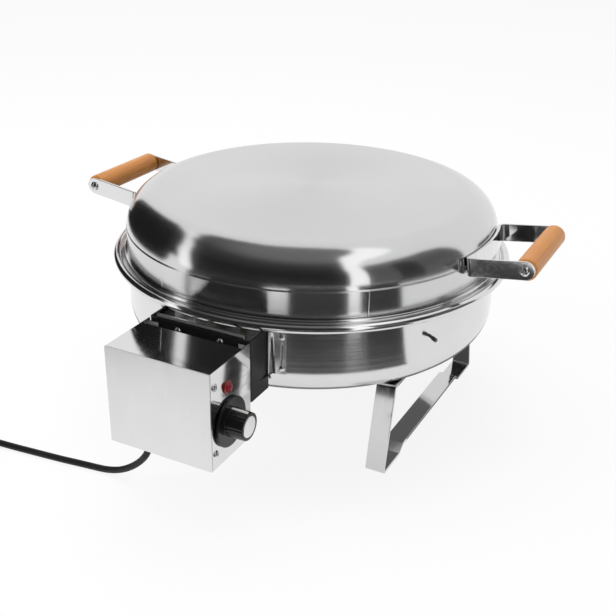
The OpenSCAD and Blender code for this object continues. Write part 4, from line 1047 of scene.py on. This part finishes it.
# what stands round the grill, as its steel mirrors it, made as painted reflections met only by reflections:
# dark surroundings, and glowing strips as painted highlights; distance, brightness from table to zenith, and
# columns of (bearing, low, high) in degrees
tentSet = {
    "canopy": (2.7, (0.03, 0.02, 0.05, 0.19), [
        (-180, 65, 90), (-160, 63, 90), (-150, 50, 90), (-120, 51.5, 90), (-112, 48.5, 90), (-98, 45.5, 90),
        (-94, 43.5, 90), (-90, 41, 90), (-86, 37, 90), (-82, 32, 90), (-79, 27, 90), (-76, 22, 90),
        (-73, 14, 90), (-70.5, 4, 90), (-69, -12, 90), (20.5, -12, 90), (24, 56, 90), (30, 68, 90),
        (45, 76, 90), (70, 78, 90), (100, 78, 90), (130, 76, 90), (150, 72, 90), (180, 65, 90),
    ]),
    "leftFlag": (2.6, (0.015, 0.015, 0.02, 0.02), [
        (-147, -12, 30), (-144, -12, 40), (-130, -12, 45), (-118, -12, 46), (-108, -12, 43.5),
        (-100, -12, 40), (-94, -12, 35), (-90, -12, 29), (-88, -12, 25), (-87.5, 9, 24), (-84, 9, 18),
        (-82, 9, 12),
    ]),
    "rightFlag": (2.6, (0.14, 0.11, 0.17, 0.2), [
        (32.5, -12, 40), (36, -12, 46), (60, -12, 48), (88, -12, 46), (96, -12, 40),
    ]),
    "rightPost": (2.5, (0.05, 0.04, 0.07, 0.07), [
        (51, -12, 34), (54, -12, 40), (62, -12, 40), (66, -12, 34),
    ]),
    "leftStrip": (2.4, (1.4, 1.3, 1.1, 1.1), [
        (-140, 45.5, 48), (-120, 48, 51), (-112, 46, 48.5), (-104, 43.5, 47.5), (-98, 41, 45.5),
        (-94, 38, 43.5), (-90, 34, 41), (-86, 27, 37), (-82, 19, 32), (-79, 6, 27), (-76, -14, 22),
        (-73, -14, 14), (-70.5, -14, 4),
    ]),
    "rightStrip": (2.4, (1.4, 1.4, 1.4, 1.4), [
        (21.5, -14, 42), (25, -14, 58), (29, -14, 66), (31.5, -14, 69), (32, 48, 70), (45, 60, 75),
        (70, 63, 77), (100, 64, 77), (130, 67, 75), (150, 67, 71),
    ]),
}
# painted reflections of the table, dark and glowing patches met only by reflections, the glowing ones as
# painted highlights: nearest, farthest, bearings and brightness
matSet = [
    (0.36, 0.475, -13, 16, 0.05), (0.475, 0.55, -23.5, 16, 0.05), (0.55, 0.604, -23.5, 18.5, 0.05),
    (0.604, 2.2, -11, 18.5, 0.05), (0.36, 0.55, 16, 27, 0.13), (0.36, 0.55, 27, 46, 0.05),
    (0.55, 2.2, 24.5, 46, 0.05), (0.65, 2.6, -69, -24, 0.03), (0.95, 2.6, -147, -88, 0.02),
    (0.95, 2.6, -24, -11, 0.03), (0.95, 2.6, 46, 96, 0.14), (0.604, 0.95, -21, -11, 1.6),
    (0.55, 2.2, 18.5, 24.5, 1.5),
]
# painted shadow under the pan for the reflections: a dark round, drawn to the back
shadeSet = {"radius": 0.27, "back": 0.12, "bearing": 185, "level": 0.2, "sides": 72}


def seenRays(tree):
    # 1 for the rays of the camera, of reflections and of glass
    path = addNode(tree, "ShaderNodeLightPath").outputs
    seen = path["Is Camera Ray"]
    for word in ("Is Glossy Ray", "Is Transmission Ray"):
        seen = mathsNode(tree, "MAXIMUM", seen, path[word])
    return seen


def stageMaterial(name):
    material = bpy.data.materials.new(name)
    material.use_nodes = True
    material.node_tree.nodes.clear()
    return material


def paperMaterial():
    material = stageMaterial("paper")
    tree = material.node_tree
    paper = addNode(tree, "ShaderNodeBsdfDiffuse", {"Color": [stageSet["paper"]] * 3 + [1]})
    glow = addNode(tree, "ShaderNodeEmission")
    part = mathsNode(tree, "MULTIPLY", seenRays(tree), stageSet["glow"])
    mix = addNode(tree, "ShaderNodeMixShader", {"Fac": part, 1: paper, 2: glow})
    addNode(tree, "ShaderNodeOutputMaterial", {"Surface": mix})
    return material


def clothMaterial(name, levels, reach):
    # painted reflection: glow with its own brightness from the table up to the zenith, met only by
    # reflections
    material = stageMaterial(name)
    tree = material.node_tree
    place = addNode(tree, "ShaderNodeTexCoord").outputs["Object"]
    low = stageSet["middle"][2]
    height = addNode(tree, "ShaderNodeMapRange", {
        "Value": addNode(tree, "ShaderNodeSeparateXYZ", {0: place}).outputs["Z"],
        "From Min": low, "From Max": low + reach,
    })
    stops = [(band, [level] * 3) for band, level in zip(stageSet["bands"], levels)]
    glow = addNode(tree, "ShaderNodeEmission", {"Color": colourRamp(tree, height, stops)})
    addNode(tree, "ShaderNodeOutputMaterial", {"Surface": glow})
    return material


def stagePiece(name, verts, faces, material):
    mesh = bpy.data.meshes.new(name)
    mesh.from_pydata(verts, [], faces)
    mesh.materials.append(material)
    piece = placed(name, mesh)
    return piece


def hideFromView(piece):
    # met by reflections alone, as a painted reflection that stands outside the picture
    piece.visible_camera = False
    piece.visible_diffuse = False
    piece.visible_shadow = False
    piece.visible_transmission = False


def tentPatch(reach, columns):
    # part of a dome over the grill, between the lower and upper edges of its columns
    spread = []
    for (a, low, high), (b, nextLow, nextHigh) in zip(columns, columns[1:]):
        steps = max(1, ceil((b - a) / stageSet["step"]))
        for k in range(steps):
            t = k / steps
            spread.append((a + (b - a) * t, low + (nextLow - low) * t, high + (nextHigh - high) * t))
    spread.append(columns[-1])
    verts, faces, rows = [], [], stageSet["rows"]
    for bearing, low, high in spread:
        a = radians(stageSet["towards"] + bearing)
        for k in range(rows + 1):
            e = radians(low + (high - low) * k / rows)
            flat = Vector((cos(e) * cos(a), cos(e) * sin(a), sin(e)))
            verts.append(Vector(stageSet["middle"]) + flat * reach)
    for i in range(len(spread) - 1):
        for k in range(rows):
            n = i * (rows + 1) + k
            faces.append((n, n + 1, n + rows + 2, n + rows + 1))
    return verts, faces


def matPatch(inner, outer, fromDeg, toDeg):
    verts, faces, steps = [], [], stageSet["matSteps"]
    for i in range(steps + 1):
        a = radians(stageSet["towards"] + fromDeg + (toDeg - fromDeg) * i / steps)
        for r in (inner, outer):
            verts.append((r * cos(a), axisY + r * sin(a), stageSet["matZ"]))
    for i in range(steps):
        faces.append((2 * i, 2 * i + 1, 2 * i + 3, 2 * i + 2))
    return verts, faces


def shadePatch():
    s = shadeSet
    a = radians(stageSet["towards"] + s["bearing"])
    middle = Vector((s["back"] * cos(a), axisY + s["back"] * sin(a), stageSet["matZ"]))
    turns = evenAngles(s["sides"])
    return [middle + Vector((cos(t), sin(t), 0)) * s["radius"] for t in turns], [tuple(range(len(turns)))]


half = stageSet["floor"]
corners = [(-half, -half, 0), (half, -half, 0), (half, half, 0), (-half, half, 0)]
stagePiece("floor", corners, [(0, 1, 2, 3)], paperMaterial())
for name, (reach, levels, columns) in tentSet.items():
    hideFromView(stagePiece(name, *tentPatch(reach, columns), clothMaterial(name, levels, reach)))
for i, (inner, outer, fromDeg, toDeg, level) in enumerate(matSet):
    paintedReflection = clothMaterial("mat" + str(i), [level] * 4, 1.0)
    hideFromView(stagePiece("mat" + str(i), *matPatch(inner, outer, fromDeg, toDeg), paintedReflection))
hideFromView(stagePiece("shade", *shadePatch(), clothMaterial("shade", [shadeSet["level"]] * 4, 1.0)))

world = bpy.data.worlds.new("studio")
scene.world = world
world.use_nodes = True
strength = addNode(world.node_tree, "ShaderNodeMapRange", {
    "Value": seenRays(world.node_tree), "To Min": stageSet["world"], "To Max": stageSet["backdrop"],
})
background = world.node_tree.nodes["Background"].inputs
background["Color"].default_value = (1, 1, 1, 1)
setInput(world.node_tree, background["Strength"], strength)

lampsSet = [  # place, target, size and power
    ("overhead", (-0.4, 0.3, 2.2), (0, 0.04, 0.15), 1.8, 26),
    ("frontLeft", (-1.6, -1.6, 1.5), (0, 0, 0.15), 1.0, 16),
]
for name, place, target, size, power in lampsSet:
    data = bpy.data.lights.new(name, "AREA")
    data.size = size
    data.energy = power
    lamp = placed(name, data)
    lamp.location = place
    lamp.rotation_euler = (Vector(target) - Vector(place)).to_track_quat("-Z", "Y").to_euler()
    lamp.visible_glossy = False
print("stage: light and floor")
